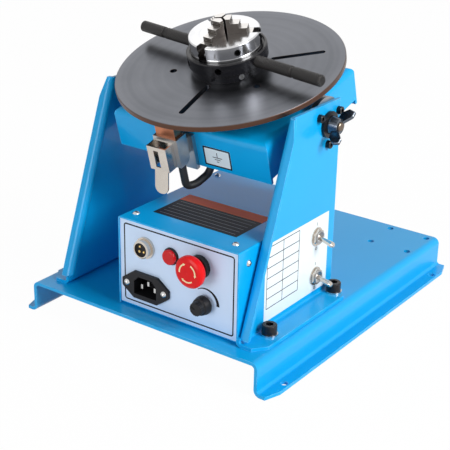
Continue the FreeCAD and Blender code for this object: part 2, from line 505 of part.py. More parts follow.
def frame_screws():
    """The identical low-headed screws of the tilting frame: housing, gearbox and earth bracket."""
    seats = [(polar(HOUSING_SCREW_CIRCLE, a, FRAME_TOP + HOUSING_FLANGE_T), Z_AXIS) for a in HOUSING_SCREW_ANGLES]
    seats += [(V(x, y, FRAME_TOP), Z_AXIS) for x, y in GEARBOX_SCREWS]
    seats.append((V(BRACKET_SCREW.x, FRONT_WALL - BRACKET_T, BRACKET_SCREW.z), Y_AXIS * -1))
    return [cap_screw(seat, axis, M4_R, M4_LENGTH, M4_HEAD_R, M4_HEAD_H) for seat, axis in seats]


def spindle_bearings():
    """Two shielded ball bearings, each drawn as one ring with its shield grooves."""
    bore, rim = SPINDLE_R + RUNNING_GAP, BEARING_R
    rings = []
    for start in BEARING_STARTS:
        low, high = 0.5, BEARING_T - 0.5
        profile = [(bore, 0), (bore + 1.4, 0), (bore + 1.4, low), (rim - 1.4, low), (rim - 1.4, 0), (rim, 0),
                   (rim, BEARING_T), (rim - 1.4, BEARING_T), (rim - 1.4, high), (bore + 1.4, high),
                   (bore + 1.4, BEARING_T), (bore, BEARING_T)]
        rings.append(turned(profile, V(0, 0, start), Z_AXIS))
    return rings


def spindle():
    """The hollow spindle with the flange that carries the disc."""
    low = FRAME_TOP + 0.3
    profile = [(OUTPUT_R + THREAD_GAP, 0), (SPINDLE_R, 0), (SPINDLE_R, SPINDLE_FLANGE_UNDER - low - 0.15),
               (SPINDLE_R + 2.5, SPINDLE_FLANGE_UNDER - low), (SPINDLE_FLANGE_R, SPINDLE_FLANGE_UNDER - low),
               (SPINDLE_FLANGE_R, DISC_UNDER - low), (OUTPUT_R + THREAD_GAP, DISC_UNDER - low)]
    shaft = turned(profile, V(0, 0, low), Z_AXIS)
    holes = [rod(polar(DISC_SCREW_CIRCLE, a, 0), Z_AXIS, DISC_SCREW_R + CLEARANCE_HOLE, DISC_TOP)
             for a in DISC_SCREW_ANGLES]
    return cut_all(shaft, holes)


def gearbox():
    """The right-angle worm gearbox that hangs under the frame's top."""
    top = FRAME_INSIDE_TOP
    body = block(GEARBOX_X0, GEARBOX_X0 + GEARBOX_LENGTH, -GEARBOX_WIDTH / 2.0, GEARBOX_WIDTH / 2.0,
                 top - GEARBOX_HEIGHT, top)
    body = body.makeFillet(3.0, edges_where(body, lambda p: abs(abs(p.y) - GEARBOX_WIDTH / 2.0) < 0.01
                                            and (abs(p.x - GEARBOX_X0) < 0.01
                                                 or abs(p.x - GEARBOX_X0 - GEARBOX_LENGTH) < 0.01)))
    boss = rod(V(0, 0, top - 0.01), Z_AXIS, BEARING_R - 1.8, FRAME_SHEET - 0.5)
    nose = rod(V(GEARBOX_X0 + GEARBOX_LENGTH - 0.01, MOTOR_CENTRE.y, MOTOR_CENTRE.z), X_AXIS, MOTOR_R * 0.8,
               MOTOR_NOSE)
    cuts = [rod(V(0, 0, top - GEARBOX_HEIGHT * 0.7), Z_AXIS, OUTPUT_R + RUNNING_GAP, GEARBOX_HEIGHT)]
    cuts += [rod(V(x, y, top - 8.0), Z_AXIS, M4_R + THREAD_GAP, 9.0) for x, y in GEARBOX_SCREWS]
    seam = top - GEARBOX_HEIGHT * 0.75
    groove = block(GEARBOX_X0 - 1, GEARBOX_X0 + GEARBOX_LENGTH + 1, -GEARBOX_WIDTH, GEARBOX_WIDTH, seam, seam + 0.8)
    core = block(GEARBOX_X0 + 0.8, GEARBOX_X0 + GEARBOX_LENGTH - 0.8, -GEARBOX_WIDTH / 2.0 + 0.8,
                 GEARBOX_WIDTH / 2.0 - 0.8, seam - 1, seam + 2)
    return cut_all(body.fuse([boss, nose]), cuts + [groove.cut(core)])


def gearbox_shaft():
    """The gearbox's output shaft, keyed into the hollow spindle."""
    start = FRAME_INSIDE_TOP - GEARBOX_HEIGHT * 0.7 + 0.3
    return rod(V(0, 0, start), Z_AXIS, OUTPUT_R, FRAME_TOP + OUTPUT_RISE - start)


def motor():
    """The motor can with its end bell and terminals."""
    start = MOTOR_CENTRE + V(MOTOR_NOSE, 0, 0)
    can = rod(start, X_AXIS, MOTOR_R, MOTOR_LENGTH - 3.0)
    bell = rod(start + V(MOTOR_LENGTH - 3.0, 0, 0), X_AXIS, MOTOR_R - 1.5, 1.6)
    boss = rod(start + V(MOTOR_LENGTH - 1.4, 0, 0), X_AXIS, 4.0, 1.4)
    tags = [block(start.x + MOTOR_LENGTH - 1.5, start.x + MOTOR_LENGTH + 1.5, start.y + s * 8.0 - 1.2,
                  start.y + s * 8.0 + 1.2, start.z - 0.25, start.z + 0.25) for s in (-1, 1)]
    return can.fuse([bell, boss] + tags).removeSplitter()


# =====================================================================  disc and chuck

HUB_TOP = DISC_TOP + BACKPLATE_T
RING_BOTTOM, RING_TOP = HUB_TOP + FACE_GAP, HUB_TOP + RING_T - FACE_GAP
BODY_BOTTOM = HUB_TOP + RING_T
BODY_TOP = BODY_BOTTOM + CHUCK_T
JAW_ANGLES = [JAW_PHASE + 120.0 * k for k in range(3)]
SECTOR_ANGLES = [angle + 60.0 for angle in JAW_ANGLES]


def turntable_disc():
    """The round work table with its three radial slots and three work holes."""
    disc = rod(V(0, 0, DISC_UNDER), Z_AXIS, DISC_R, DISC_T)
    disc = disc.makeChamfer(DISC_CHAMFER, disc.Edges[0:1] + [e for e in disc.Edges[1:] if e.Curve.TypeId
                                                           == "Part::GeomCircle"])
    cuts = [rod(V(0, 0, DISC_UNDER - 1), Z_AXIS, CHUCK_BORE_R, DISC_T + 2)]
    for k in range(3):
        slot = block(SLOT_INNER, SLOT_OUTER, -SLOT_WIDTH / 2.0, SLOT_WIDTH / 2.0, DISC_UNDER - 1, DISC_TOP + 1)
        ends = [rod(V(x, 0, DISC_UNDER - 1), Z_AXIS, SLOT_WIDTH / 2.0, DISC_T + 2) for x in (SLOT_INNER, SLOT_OUTER)]
        cuts.append(turned_about_z(slot.fuse(ends), SLOT_PHASE + 120.0 * k))
        cuts.append(rod(polar(WORK_HOLE_CIRCLE, WORK_HOLE_PHASE + 120.0 * k, DISC_UNDER - 1), Z_AXIS, WORK_HOLE_R,
                        DISC_T + 2))
    cuts += [rod(polar(DISC_SCREW_CIRCLE, a, DISC_UNDER - 1), Z_AXIS, DISC_SCREW_R + CLEARANCE_HOLE, DISC_T + 2)
             for a in DISC_SCREW_ANGLES]
    return cut_all(disc, cuts)


def turntable_screws():
    """Screws from below through the spindle flange and the disc into the chuck's backplate."""
    return [cap_screw(polar(DISC_SCREW_CIRCLE, a, SPINDLE_FLANGE_UNDER), Z_AXIS * -1, DISC_SCREW_R,
                      SPINDLE_FLANGE_T + DISC_T + BACKPLATE_T * 0.7, DISC_SCREW_HEAD_R, DISC_SCREW_HEAD_H)
            for a in DISC_SCREW_ANGLES]


def chuck_backplate():
    """The turned plate between the disc and the chuck."""
    plate = rod(V(0, 0, DISC_TOP), Z_AXIS, BACKPLATE_R, BACKPLATE_T)
    plate = plate.makeFillet(1.0, edges_where(plate, lambda p: p.z > HUB_TOP - 0.01))
    cuts = [rod(V(0, 0, DISC_TOP - 1), Z_AXIS, CHUCK_BORE_R, BACKPLATE_T + 2)]
    cuts += [rod(polar(DISC_SCREW_CIRCLE, a, DISC_TOP - 1), Z_AXIS, DISC_SCREW_R + THREAD_GAP,
                 BACKPLATE_T * 0.75 + 1) for a in DISC_SCREW_ANGLES]
    cuts += [rod(polar(BACKPLATE_R + 1, a, DISC_TOP + BACKPLATE_T / 2.0), polar(-1, a), SET_SCREW_R + THREAD_GAP,
                 SET_SCREW_LENGTH + 1.2) for a in SECTOR_ANGLES]
    return cut_all(plate, cuts)


def backplate_set_screws():
    """Small socket set screws in the backplate's rim."""
    screws = []
    for angle in SECTOR_ANGLES:
        outer = polar(BACKPLATE_R - 0.2, angle, DISC_TOP + BACKPLATE_T / 2.0)
        inward = polar(-1, angle)
        key = hexagon(outer - inward * 0.5, inward, SET_SCREW_R, 2.5)
        screws.append(rod(outer, inward, SET_SCREW_R, SET_SCREW_LENGTH).cut(key))
    return screws


def spiral(offset):
    """The scroll's spiral, which winds inwards one pitch a turn, moved outwards by an offset."""
    turns = (SCROLL_OUTER - SCROLL_INNER) / SCROLL_PITCH
    steps = int(turns * 18)
    points = [polar(SCROLL_OUTER - SCROLL_PITCH * turns * k / steps + offset, 360.0 * turns * k / steps,
                    RING_TOP - SCROLL_DEPTH) for k in range(steps + 1)]
    curve = Part.BSplineCurve()
    curve.interpolate(points)
    return curve.toShape(), points[0], points[-1]


def scroll_groove():
    """The spiral groove of the scroll, as the solid that is cut out of the ring."""
    outer, outer_start, outer_end = spiral(SCROLL_GROOVE / 2.0)
    inner, inner_start, inner_end = spiral(-SCROLL_GROOVE / 2.0)
    ends = [Part.makeLine(outer_start, inner_start), Part.makeLine(outer_end, inner_end)]
    return Part.Face(Part.Wire(Part.__sortEdges__([outer, inner] + ends))).extrude(V(0, 0, SCROLL_DEPTH + 1))


def scroll_ring():
    """The ring that is turned by its two bars: the spiral groove in its top moves the jaws."""
    height = RING_TOP - RING_BOTTOM
    profile = [(CORE_R + RUNNING_GAP, 0), (RING_R - RING_CHAMFER, 0), (RING_R, RING_CHAMFER),
               (RING_R, height - RING_CHAMFER), (RING_R - RING_CHAMFER, height), (CORE_R + RUNNING_GAP, height)]
    ring = turned(profile, V(0, 0, RING_BOTTOM), Z_AXIS)
    middle = (RING_BOTTOM + RING_TOP) / 2.0
    holes = [rod(polar(RING_R + 1, HANDLE_PHASE + k * 360.0 / BAR_HOLES, middle),
                 polar(-1, HANDLE_PHASE + k * 360.0 / BAR_HOLES), HANDLE_SPIGOT_R + THREAD_GAP, 10.0)
             for k in range(BAR_HOLES)]
    return ring.cut(holes).cut(scroll_groove())


def chuck_handle(angle):
    """One round bar screwed into the scroll ring."""
    middle = (RING_BOTTOM + RING_TOP) / 2.0
    start = RING_R + 0.1
    length = HANDLE_REACH - start
    groove = HANDLE_GROOVE_AT - start
    w, d = HANDLE_GROOVE_W / 2.0, HANDLE_GROOVE_D
    profile = [(0, -8.0), (HANDLE_SPIGOT_R, -8.0), (HANDLE_SPIGOT_R, 0), (HANDLE_R, 0), (HANDLE_R, groove - w - d),
               (HANDLE_R - d, groove - w), (HANDLE_R - d, groove + w), (HANDLE_R, groove + w + d),
               (HANDLE_R, length - 1.2), (HANDLE_R - 1.2, length), (0, length)]
    return turned(profile, polar(start, angle, middle), polar(1, angle))


def jaw_blank(extra):
    """A jaw along +X, or with extra > 0 the slot that it slides in."""
    half = JAW_WIDTH / 2.0 + extra
    low = BODY_BOTTOM + (JAW_LIFT if extra == 0 else -1.0)
    inner = JAW_INNER if extra == 0 else -half * 0.5
    outer = JAW_INNER + JAW_LENGTH if extra == 0 else 2 * CHUCK_R
    top = BODY_TOP + (0.0 if extra == 0 else 1.0)
    blank = block(inner, outer, -half, half, low, top)
    level = BODY_BOTTOM + GUIDE_LEVEL
    grooves = [block(inner - 1, outer + 1, s * half - GUIDE_DEPTH, s * half + GUIDE_DEPTH, level + extra,
                     level + GUIDE_HEIGHT - extra) for s in (-1, 1)]
    return blank.cut(grooves)


def jaw_teeth(angle):
    """The teeth under the jaw at an angle, where the scroll's groove crosses it."""
    first = TOOTH_START + (SCROLL_OUTER - SCROLL_PITCH * angle / 360.0 - TOOTH_START) % SCROLL_PITCH
    low = RING_TOP - SCROLL_DEPTH + FACE_GAP
    return [block(r - TOOTH_T / 2.0, r + TOOTH_T / 2.0, -TOOTH_HALF, TOOTH_HALF, low, BODY_BOTTOM + 1.0)
            for r in (first + k * SCROLL_PITCH for k in range(TEETH))]


def jaw(angle):
    """One stepped jaw at its stored, nearly closed place, with its teeth in the scroll."""
    half = JAW_WIDTH / 2.0
    step_run, step_rise = (JAW_LENGTH - 4.0) / JAW_STEPS, JAW_RISE / JAW_STEPS
    outline, nibs = [V(JAW_INNER, -half, BODY_TOP)], []
    for k in range(JAW_STEPS):
        outer = JAW_INNER + JAW_LENGTH - 4.0 - k * step_run
        tread, next_tread = BODY_TOP + k * step_rise, BODY_TOP + (k + 1) * step_rise
        outline += [V(outer, -half, tread), V(outer, -half, next_tread)]
        nibs += [block(outer - 0.5, outer + 1, -half - 1, half + 1, low, low + 0.6)
                 for low in (tread + 1.3, tread + 2.7)]
    outline.append(V(JAW_INNER, -half, BODY_TOP + JAW_RISE))
    steps = prism(outline, V(0, JAW_WIDTH, 0))
    nose = [prism([V(JAW_INNER - 1, 0, BODY_BOTTOM - 1), V(JAW_INNER - 1, s * JAW_WIDTH, BODY_BOTTOM - 1),
                   V(JAW_INNER + half * 0.58 + 0.58, s * (half + 1), BODY_BOTTOM - 1),
                   V(JAW_INNER, 0, BODY_BOTTOM - 1)], V(0, 0, CHUCK_T + JAW_RISE + 3)) for s in (-1, 1)]
    body = jaw_blank(0).fuse([steps] + jaw_teeth(angle)).cut(nose + nibs)
    return turned_about_z(body.removeSplitter(), angle)


def chuck_body():
    """The chuck body: a core inside the ring and a slotted head that guides the jaws."""
    head = rod(V(0, 0, BODY_BOTTOM), Z_AXIS, CHUCK_R, CHUCK_T)
    head = head.makeFillet(1.2, edges_where(head, lambda p: p.z > BODY_TOP - 0.01))
    band = tube(V(0, 0, BODY_BOTTOM + 1.8), Z_AXIS, CHUCK_R + 1, CHUCK_R - 0.5, 0.7)
    core = rod(V(0, 0, HUB_TOP), Z_AXIS, CORE_R, RING_T)
    cuts = [band, rod(V(0, 0, HUB_TOP - 1), Z_AXIS, CHUCK_BORE_R, RING_T + 1)]
    cuts += [turned_about_z(jaw_blank(GUIDE_GAP), angle) for angle in JAW_ANGLES]
    cuts += [rod(polar(CHUCK_R + 1, a, BODY_BOTTOM + CHUCK_T * 0.5), polar(-1, a), KEY_HOLE_R, KEY_HOLE_DEPTH + 1)
             for a in SECTOR_ANGLES]
    return cut_all(head.fuse(core), cuts)


# =====================================================================  earth brush

HOLDER_BACK = FRONT_WALL - BRACKET_T - HOLDER_STANDOFF
HOLDER_FRONT = HOLDER_BACK - HOLDER_DEPTH
HOLDER_MID_X = BRUSH_RIGHT - BRUSH_WIDTH / 2.0
HOLDER_MID_Y = (HOLDER_BACK + HOLDER_FRONT) / 2.0
COPPER_HALF_X, COPPER_HALF_Y = COPPER_WIDTH / 2.0, COPPER_DEPTH / 2.0
COPPER_LOW = HOLDER_BOTTOM + 10.0
COPPER_TOP = DISC_UNDER - FACE_GAP
CLIP_RIGHT = HOLDER_MID_X + CLIP_WIDTH / 2.0 - 1.5
CLIP_FRONT = HOLDER_FRONT - CLIP_DEPTH


def earth_bracket():
    """The plate on the frame's front wall, with the arm that stands the brush holder off."""
    plate = block(BRACKET_LEFT + 3.0, BRUSH_RIGHT, FRONT_WALL - BRACKET_T, FRONT_WALL, BRACKET_BOTTOM, BRACKET_TOP)
    arm = block(BRACKET_LEFT + 6.0, BRUSH_RIGHT - 4.0, HOLDER_BACK, FRONT_WALL - BRACKET_T, HOLDER_BOTTOM + 4.0,
                BRACKET_TOP - 2.0)
    hole = rod(V(BRACKET_SCREW.x, FRONT_WALL - BRACKET_T - 1, BRACKET_SCREW.z), Y_AXIS, M4_R + CLEARANCE_HOLE,
               BRACKET_T + 2)
    return plate.fuse(arm).cut(hole).removeSplitter()


def brush_holder():
    """The cast body that guides the copper block."""
    body = block(HOLDER_MID_X - BRUSH_WIDTH / 2.0, HOLDER_MID_X + BRUSH_WIDTH / 2.0, HOLDER_FRONT, HOLDER_BACK,
                 HOLDER_BOTTOM, HOLDER_TOP)
    pocket = block(HOLDER_MID_X - COPPER_HALF_X - GUIDE_GAP, HOLDER_MID_X + COPPER_HALF_X + GUIDE_GAP,
                   HOLDER_MID_Y - COPPER_HALF_Y - GUIDE_GAP, HOLDER_MID_Y + COPPER_HALF_Y + GUIDE_GAP,
                   HOLDER_BOTTOM + 2.5, HOLDER_TOP + 1)
    foot = prism([V(BRUSH_RIGHT - BRUSH_WIDTH - 1, HOLDER_BACK + 0.01, HOLDER_BOTTOM - 1),
                  V(BRUSH_RIGHT - BRUSH_WIDTH - 1, HOLDER_BACK - 5.0, HOLDER_BOTTOM - 1),
                  V(BRUSH_RIGHT - BRUSH_WIDTH - 1, HOLDER_BACK + 0.01, HOLDER_BOTTOM + 4.0)],
                 V(BRUSH_WIDTH + 2, 0, 0))
    return cut_all(body, [pocket, foot])


def copper_brush():
    """The copper block that bears on the underside of the disc."""
    return block(HOLDER_MID_X - COPPER_HALF_X, HOLDER_MID_X + COPPER_HALF_X, HOLDER_MID_Y - COPPER_HALF_Y,
                 HOLDER_MID_Y + COPPER_HALF_Y, COPPER_LOW, COPPER_TOP)


def brush_spring():
    """The coil spring under the copper block, drawn at its shortest length in short straight lengths of wire."""
    low = HOLDER_BOTTOM + 2.5 + SPRING_WIRE_R
    height = COPPER_LOW - COPPER_STROKE - 0.2 - SPRING_WIRE_R - low
    points = []
    for step in range(SPRING_TURNS * SPRING_LENGTHS + 1):
        turn = step / SPRING_LENGTHS
        angle = 2.0 * math.pi * turn
        points.append(V(HOLDER_MID_X + SPRING_R * math.cos(angle), HOLDER_MID_Y + SPRING_R * math.sin(angle),
                        low + height * turn / SPRING_TURNS))
    ring = Part.Wire(Part.Circle(points[0], points[1] - points[0], SPRING_WIRE_R).toShape())
    return Part.makePolygon(points).makePipeShell([ring], True, False, 1)


def brush_clip():
    """The folded clip on the holder's front with its slotted face and hanging tongue."""
    x0, x1 = CLIP_RIGHT - CLIP_WIDTH, CLIP_RIGHT
    outer = block(x0, x1, CLIP_FRONT, HOLDER_FRONT, CLIP_BOTTOM, CLIP_TOP)
    t = CLIP_SHEET
    hollow = block(x0 + t, x1 - t, CLIP_FRONT + t, HOLDER_FRONT - t, CLIP_BOTTOM - 1, CLIP_TOP + 1)
    slot = block(x0 + 6.5, x0 + 11.5, CLIP_FRONT - 1, CLIP_FRONT + t + 1, CLIP_BOTTOM + 3.0, CLIP_TOP - 3.5)
    tongue_x = x0 + (CLIP_WIDTH - TONGUE_WIDTH) / 2.0 + 1.5
    tongue = block(tongue_x, tongue_x + TONGUE_WIDTH, CLIP_FRONT, CLIP_FRONT + t,
                   CLIP_BOTTOM - TONGUE_LENGTH, CLIP_BOTTOM + 1.0)
    round_end = edges_where(tongue, lambda p: p.z < CLIP_BOTTOM - TONGUE_LENGTH + 0.01)
    corners = [e for e in round_end if abs(e.Vertexes[0].Point.x - e.Vertexes[-1].Point.x) < 0.01]
    tongue = tongue.makeFillet(TONGUE_WIDTH * 0.45, corners)
    tongue.rotate(V(0, CLIP_FRONT, CLIP_BOTTOM + 1.0), X_AXIS, -TONGUE_LEAN)
    return outer.cut([hollow, slot]).fuse(tongue).removeSplitter()


def rounded_route(points, share=0.45):
    """A wire of straight runs joined by tangent arcs, each arc as large as its two runs allow."""
    edges, last = [], points[0]
    for before, here, after in zip(points, points[1:], points[2:]):
        into, out = here - before, after - here
        run = min(into.Length, out.Length)
        into.normalize()
        out.normalize()
        turn = math.acos(max(-1.0, min(1.0, into.dot(out))))
        radius = share * run / math.tan(turn / 2.0)
        start, end = here - into * (share * run), here + out * (share * run)
        bisector = (out - into)
        bisector.normalize()
        middle = here + bisector * (radius / math.cos(turn / 2.0) - radius)
        edges += [Part.LineSegment(last, start).toShape(), Part.Arc(start, middle, end).toShape()]
        last = end
    edges.append(Part.LineSegment(last, points[-1]).toShape())
    return Part.Wire(edges)


LEAD_INSIDE, LEAD_OUTSIDE = BRUSH_RIGHT + 3.0, BRUSH_RIGHT - 5.0
LEAD_LOW = -FRAME_DROP - 14.5
LEAD_ROUTE = [V(LEAD_INSIDE, FRONT_WALL + FRAME_SHEET + 9.0, FRAME_INSIDE_TOP),
              V(LEAD_INSIDE, FRONT_WALL + FRAME_SHEET + 9.0, LEAD_LOW + 3.0),
              V((LEAD_INSIDE + LEAD_OUTSIDE) / 2.0, (FRONT_WALL + HOLDER_MID_Y) / 2.0, LEAD_LOW),
              V(LEAD_OUTSIDE, HOLDER_MID_Y, LEAD_LOW + 2.0), V(LEAD_OUTSIDE, HOLDER_MID_Y, HOLDER_BOTTOM)]


def earth_lead():
    """The short flexible lead from inside the frame to the underside of the brush holder."""
    wire = rounded_route(LEAD_ROUTE)
    start = LEAD_ROUTE[0]
    section = Part.Wire(Part.Circle(start, LEAD_ROUTE[1] - start, LEAD_R).toShape())
    return wire.makePipeShell([section], True, False)


# =====================================================================  control box

def control_chassis():
    """The folded floor, front and rear of the control box, with lips for the cover's screws."""
    t = BOX_SHEET
    x0, x1 = CASE_LEFT + t + 0.1, CASE_RIGHT - t - 0.1
    lip_z = CASE_TOP - t - t / 2.0 - 0.1
    mid_y0, mid_y1 = CASE_FRONT + t / 2.0, CASE_REAR - t / 2.0
    strip = bent_strip([(mid_y0 + CASE_LIP, lip_z), (mid_y0, lip_z), (mid_y0, BASE_HEIGHT + t / 2.0),
                        (mid_y1, BASE_HEIGHT + t / 2.0), (mid_y1, lip_z), (mid_y1 - CASE_LIP, lip_z)],
                       t, 1.0, x1 - x0)
    strip.rotate(V(0, 0, 0), Z_AXIS, 90.0)
    strip.translate(V(x1, 0, 0))
    cuts = [rod(V(p.x, CASE_FRONT - 5, p.z), Y_AXIS, r, 10) for p, r in (
        (SOCKET_AT, SOCKET_THREAD_R + CLEARANCE_HOLE), (LAMP_AT, LAMP_THREAD_R + CLEARANCE_HOLE),
        (STOP_AT, STOP_THREAD_R + CLEARANCE_HOLE), (SPEED_AT, SPEED_BUSH_R + CLEARANCE_HOLE))]
    cuts.append(block(INLET_AT.x - INLET_BODY_W / 2 - 0.2, INLET_AT.x + INLET_BODY_W / 2 + 0.2, CASE_FRONT - 5,
                      CASE_FRONT + 5, INLET_AT.z - INLET_BODY_H / 2 - 0.2, INLET_AT.z + INLET_BODY_H / 2 + 0.2))
    cuts += [rod(seat - axis * 5, axis, PAN_SCREW_R + THREAD_GAP, 10) for seat, axis in panel_screw_seats()]
    tabs = [block(x, x + t, CASE_FRONT + 1.0, CASE_FRONT + CASE_LIP + 4.0, CASE_TOP - 26.0, CASE_TOP - 4.0)
            for x in (x0, x1 - t)]
    return cut_all(strip.fuse(tabs), cuts)


def control_cover():
    """The top and both sides of the control box, folded from one sheet."""
    t = BOX_SHEET
    y0, y1 = CASE_FRONT - t, CASE_REAR + t
    cover = bent_strip([(CASE_LEFT + t / 2.0, BASE_HEIGHT + 0.3), (CASE_LEFT + t / 2.0, CASE_TOP - t / 2.0),
                        (CASE_RIGHT - t / 2.0, CASE_TOP - t / 2.0), (CASE_RIGHT - t / 2.0, BASE_HEIGHT + 0.3)],
                       t, 0.3, y1 - y0)
    cover.translate(V(0, y0, 0))
    cuts = [rod(seat - axis * 5, axis, PAN_SCREW_R + THREAD_GAP, 10) for seat, axis in panel_screw_seats()[:6]]
    cuts += [rod(V(CASE_RIGHT - 5, SWITCH_Y, z), X_AXIS, SWITCH_BUSH_R + CLEARANCE_HOLE, 10) for z in SWITCH_LEVELS]
    return cut_all(cover, cuts)


def panel_screw_seats():
    """Head seats and outward axes of the identical panel screws: cover, inlet flange and under the base."""
    seats = [(V(x, y, CASE_TOP), Z_AXIS) for x in (CASE_LEFT + 8.5, CASE_RIGHT - 13.2)
             for y in (CASE_FRONT + CASE_SCREW_IN, CASE_REAR - CASE_SCREW_IN)]
    side = V(0, CASE_FRONT + CASE_SCREW_IN, CASE_TOP - 13.0)
    seats += [(side + X_AXIS * CASE_RIGHT, X_AXIS), (side + X_AXIS * CASE_LEFT, X_AXIS * -1)]
    seats += [(INLET_AT + V(s * INLET_PITCH / 2.0, CASE_FRONT - INLET_FLANGE_T, 0), Y_AXIS * -1) for s in (-1, 1)]
    seats += [(V(x, y, BASE_HEIGHT - BASE_SHEET), Z_AXIS * -1) for x, y in CASE_MOUNTS]
    return seats


def panel_screws():
    """The identical domed screws of the cover, the power inlet and the box's floor."""
    return [pan_screw(seat, axis) for seat, axis in panel_screw_seats()]


STOP_HEAD_BACK = STOP_COLLAR_T + STOP_TRAVEL + 0.4
FORWARD = Y_AXIS * -1


def outward(at, depth=0.0):
    """The spot on the front panel's face of a control, moved outwards by a depth."""
    return V(at.x, CASE_FRONT - depth, at.z)


def foot_socket_shell():
    """The threaded metal shell of the round foot-switch socket, with its flange and rear nut."""
    behind = 9.0
    profile = [(SOCKET_THREAD_R - 1.4, 0), (SOCKET_THREAD_R, 0), (SOCKET_THREAD_R, behind), (SOCKET_FLANGE_R, behind),
               (SOCKET_FLANGE_R, behind + 2.2), (SOCKET_THREAD_R + 0.3, behind + 2.2),
               (SOCKET_THREAD_R + 0.3, behind + SOCKET_REACH - 0.6), (SOCKET_THREAD_R - 0.3, behind + SOCKET_REACH),
               (SOCKET_THREAD_R - 1.4, behind + SOCKET_REACH)]
    shell = turned(profile, outward(SOCKET_AT, -behind), FORWARD)
    nut = hexagon(outward(SOCKET_AT, -BOX_SHEET - 2.6), FORWARD, 2 * SOCKET_FLANGE_R, 2.5)
    return [shell, nut.cut(rod(outward(SOCKET_AT, -9), FORWARD, SOCKET_THREAD_R + THREAD_GAP, 9))]


def foot_socket_insert():
    """The black moulding inside the socket's shell."""
    radius = SOCKET_THREAD_R - 1.4 - THREAD_GAP
    body = rod(outward(SOCKET_AT, -9.0), FORWARD, radius, 9.0 + SOCKET_REACH - 2.4)
    holes = [rod(outward(SOCKET_AT + V(dx, 0, dz), -12.0), FORWARD, SOCKET_PIN_R + THREAD_GAP, 24.0)
             for dx, dz in SOCKET_PINS]
    key = block(SOCKET_AT.x - 0.8, SOCKET_AT.x + 0.8, CASE_FRONT - SOCKET_REACH, CASE_FRONT - 1.0,
                SOCKET_AT.z + radius - 1.0, SOCKET_AT.z + radius + 1)
    return cut_all(body, holes + [key])


def foot_socket_pins():
    """The two contact pins of the socket."""
    pins = []
    for dx, dz in SOCKET_PINS:
        pin = rod(outward(SOCKET_AT + V(dx, 0, dz), -12.0), FORWARD, SOCKET_PIN_R, 12.0 + SOCKET_REACH - 1.4)
        pins.append(pin.makeFillet(0.8, edges_where(pin, lambda p: p.y < CASE_FRONT - SOCKET_REACH + 1.41)))
    return pins


def lamp_bezel():
    """The black bezel, body and nut of the indicator lamp."""
    behind = 16.0
    profile = [(0, 0), (LAMP_THREAD_R, 0), (LAMP_THREAD_R, behind), (LAMP_BEZEL_R, behind),
               (LAMP_BEZEL_R, behind + 1.4), (LAMP_LENS_R + 0.3, behind + 2.4), (LAMP_LENS_R + 0.3, behind + 1.2),
               (0, behind + 1.2)]
    bezel = turned(profile, outward(LAMP_AT, -behind), FORWARD)
    nut = hexagon(outward(LAMP_AT, -BOX_SHEET - 2.2), FORWARD, 2 * LAMP_BEZEL_R, 2.1)
    return [bezel, nut.cut(rod(outward(LAMP_AT, -9), FORWARD, LAMP_THREAD_R + THREAD_GAP, 9))]


def lamp_lens():
    """The red lens of the indicator lamp."""
    lens = rod(outward(LAMP_AT, 1.25), FORWARD, LAMP_LENS_R, LAMP_REACH - 1.25)
    return lens.makeFillet(1.2, edges_where(lens, lambda p: p.y < CASE_FRONT - LAMP_REACH + 0.01))


def estop_collar():
    """The black collar, threaded body and nut of the emergency stop."""
    behind, bore = STOP_BODY, STOP_STEM_R + RUNNING_GAP
    profile = [(bore, 3.0), (bore, 0), (STOP_THREAD_R, 0), (STOP_THREAD_R, behind), (STOP_COLLAR_R, behind),
               (STOP_COLLAR_R, behind + STOP_COLLAR_T - 0.8), (STOP_COLLAR_R - 0.8, behind + STOP_COLLAR_T),
               (bore, behind + STOP_COLLAR_T)]
    collar = turned(profile, outward(STOP_AT, -behind), FORWARD)
    nut = hexagon(outward(STOP_AT, -BOX_SHEET - 3.2), FORWARD, 2 * STOP_COLLAR_R, 3.1)
    return [collar, nut.cut(rod(outward(STOP_AT, -9), FORWARD, STOP_THREAD_R + THREAD_GAP, 9))]


def estop_stem():
    """The stem of the emergency stop, drawn pulled out, with the spigot that the head turns on."""
    profile = [(0, -STOP_BODY + STOP_TRAVEL + 1.0), (STOP_STEM_R, -STOP_BODY + STOP_TRAVEL + 1.0),
               (STOP_STEM_R, STOP_HEAD_BACK - 0.1), (STOP_SPIGOT_R, STOP_HEAD_BACK - 0.1),
               (STOP_SPIGOT_R, STOP_HEAD_BACK + STOP_SPIGOT), (0, STOP_HEAD_BACK + STOP_SPIGOT)]
    return turned(profile, outward(STOP_AT), FORWARD)


def estop_head():
    """The red mushroom head of the emergency stop."""
    back, bore = STOP_HEAD_BACK, STOP_SPIGOT_R + RUNNING_GAP
    profile = [(bore, back), (STOP_COLLAR_R - 0.6, back), (STOP_HEAD_R - 1.4, back + 1.6),
               (STOP_HEAD_R, back + 4.2), (STOP_HEAD_R, back + STOP_HEAD_T - 2.4),
               (STOP_HEAD_R - 1.1, back + STOP_HEAD_T - 0.9), (STOP_HEAD_R - 3.2, back + STOP_HEAD_T),
               (0, back + STOP_HEAD_T + 0.5), (0, back + STOP_SPIGOT + 0.2), (bore, back + STOP_SPIGOT + 0.2)]
    return turned(profile, outward(STOP_AT), FORWARD)


def estop_contact_block():
    """The contact block clipped behind the emergency stop."""
    behind = CASE_FRONT + STOP_BODY + 0.1
    body = block(STOP_AT.x - 9, STOP_AT.x + 9, behind, behind + 20.0, STOP_AT.z - 12, STOP_AT.z + 12)
    waist = [block(STOP_AT.x - 10, STOP_AT.x + 10, behind + 7, behind + 13, STOP_AT.z + s * 12 - 2.5,
                   STOP_AT.z + s * 12 + 2.5) for s in (-1, 1)]
    return cut_all(body, waist)


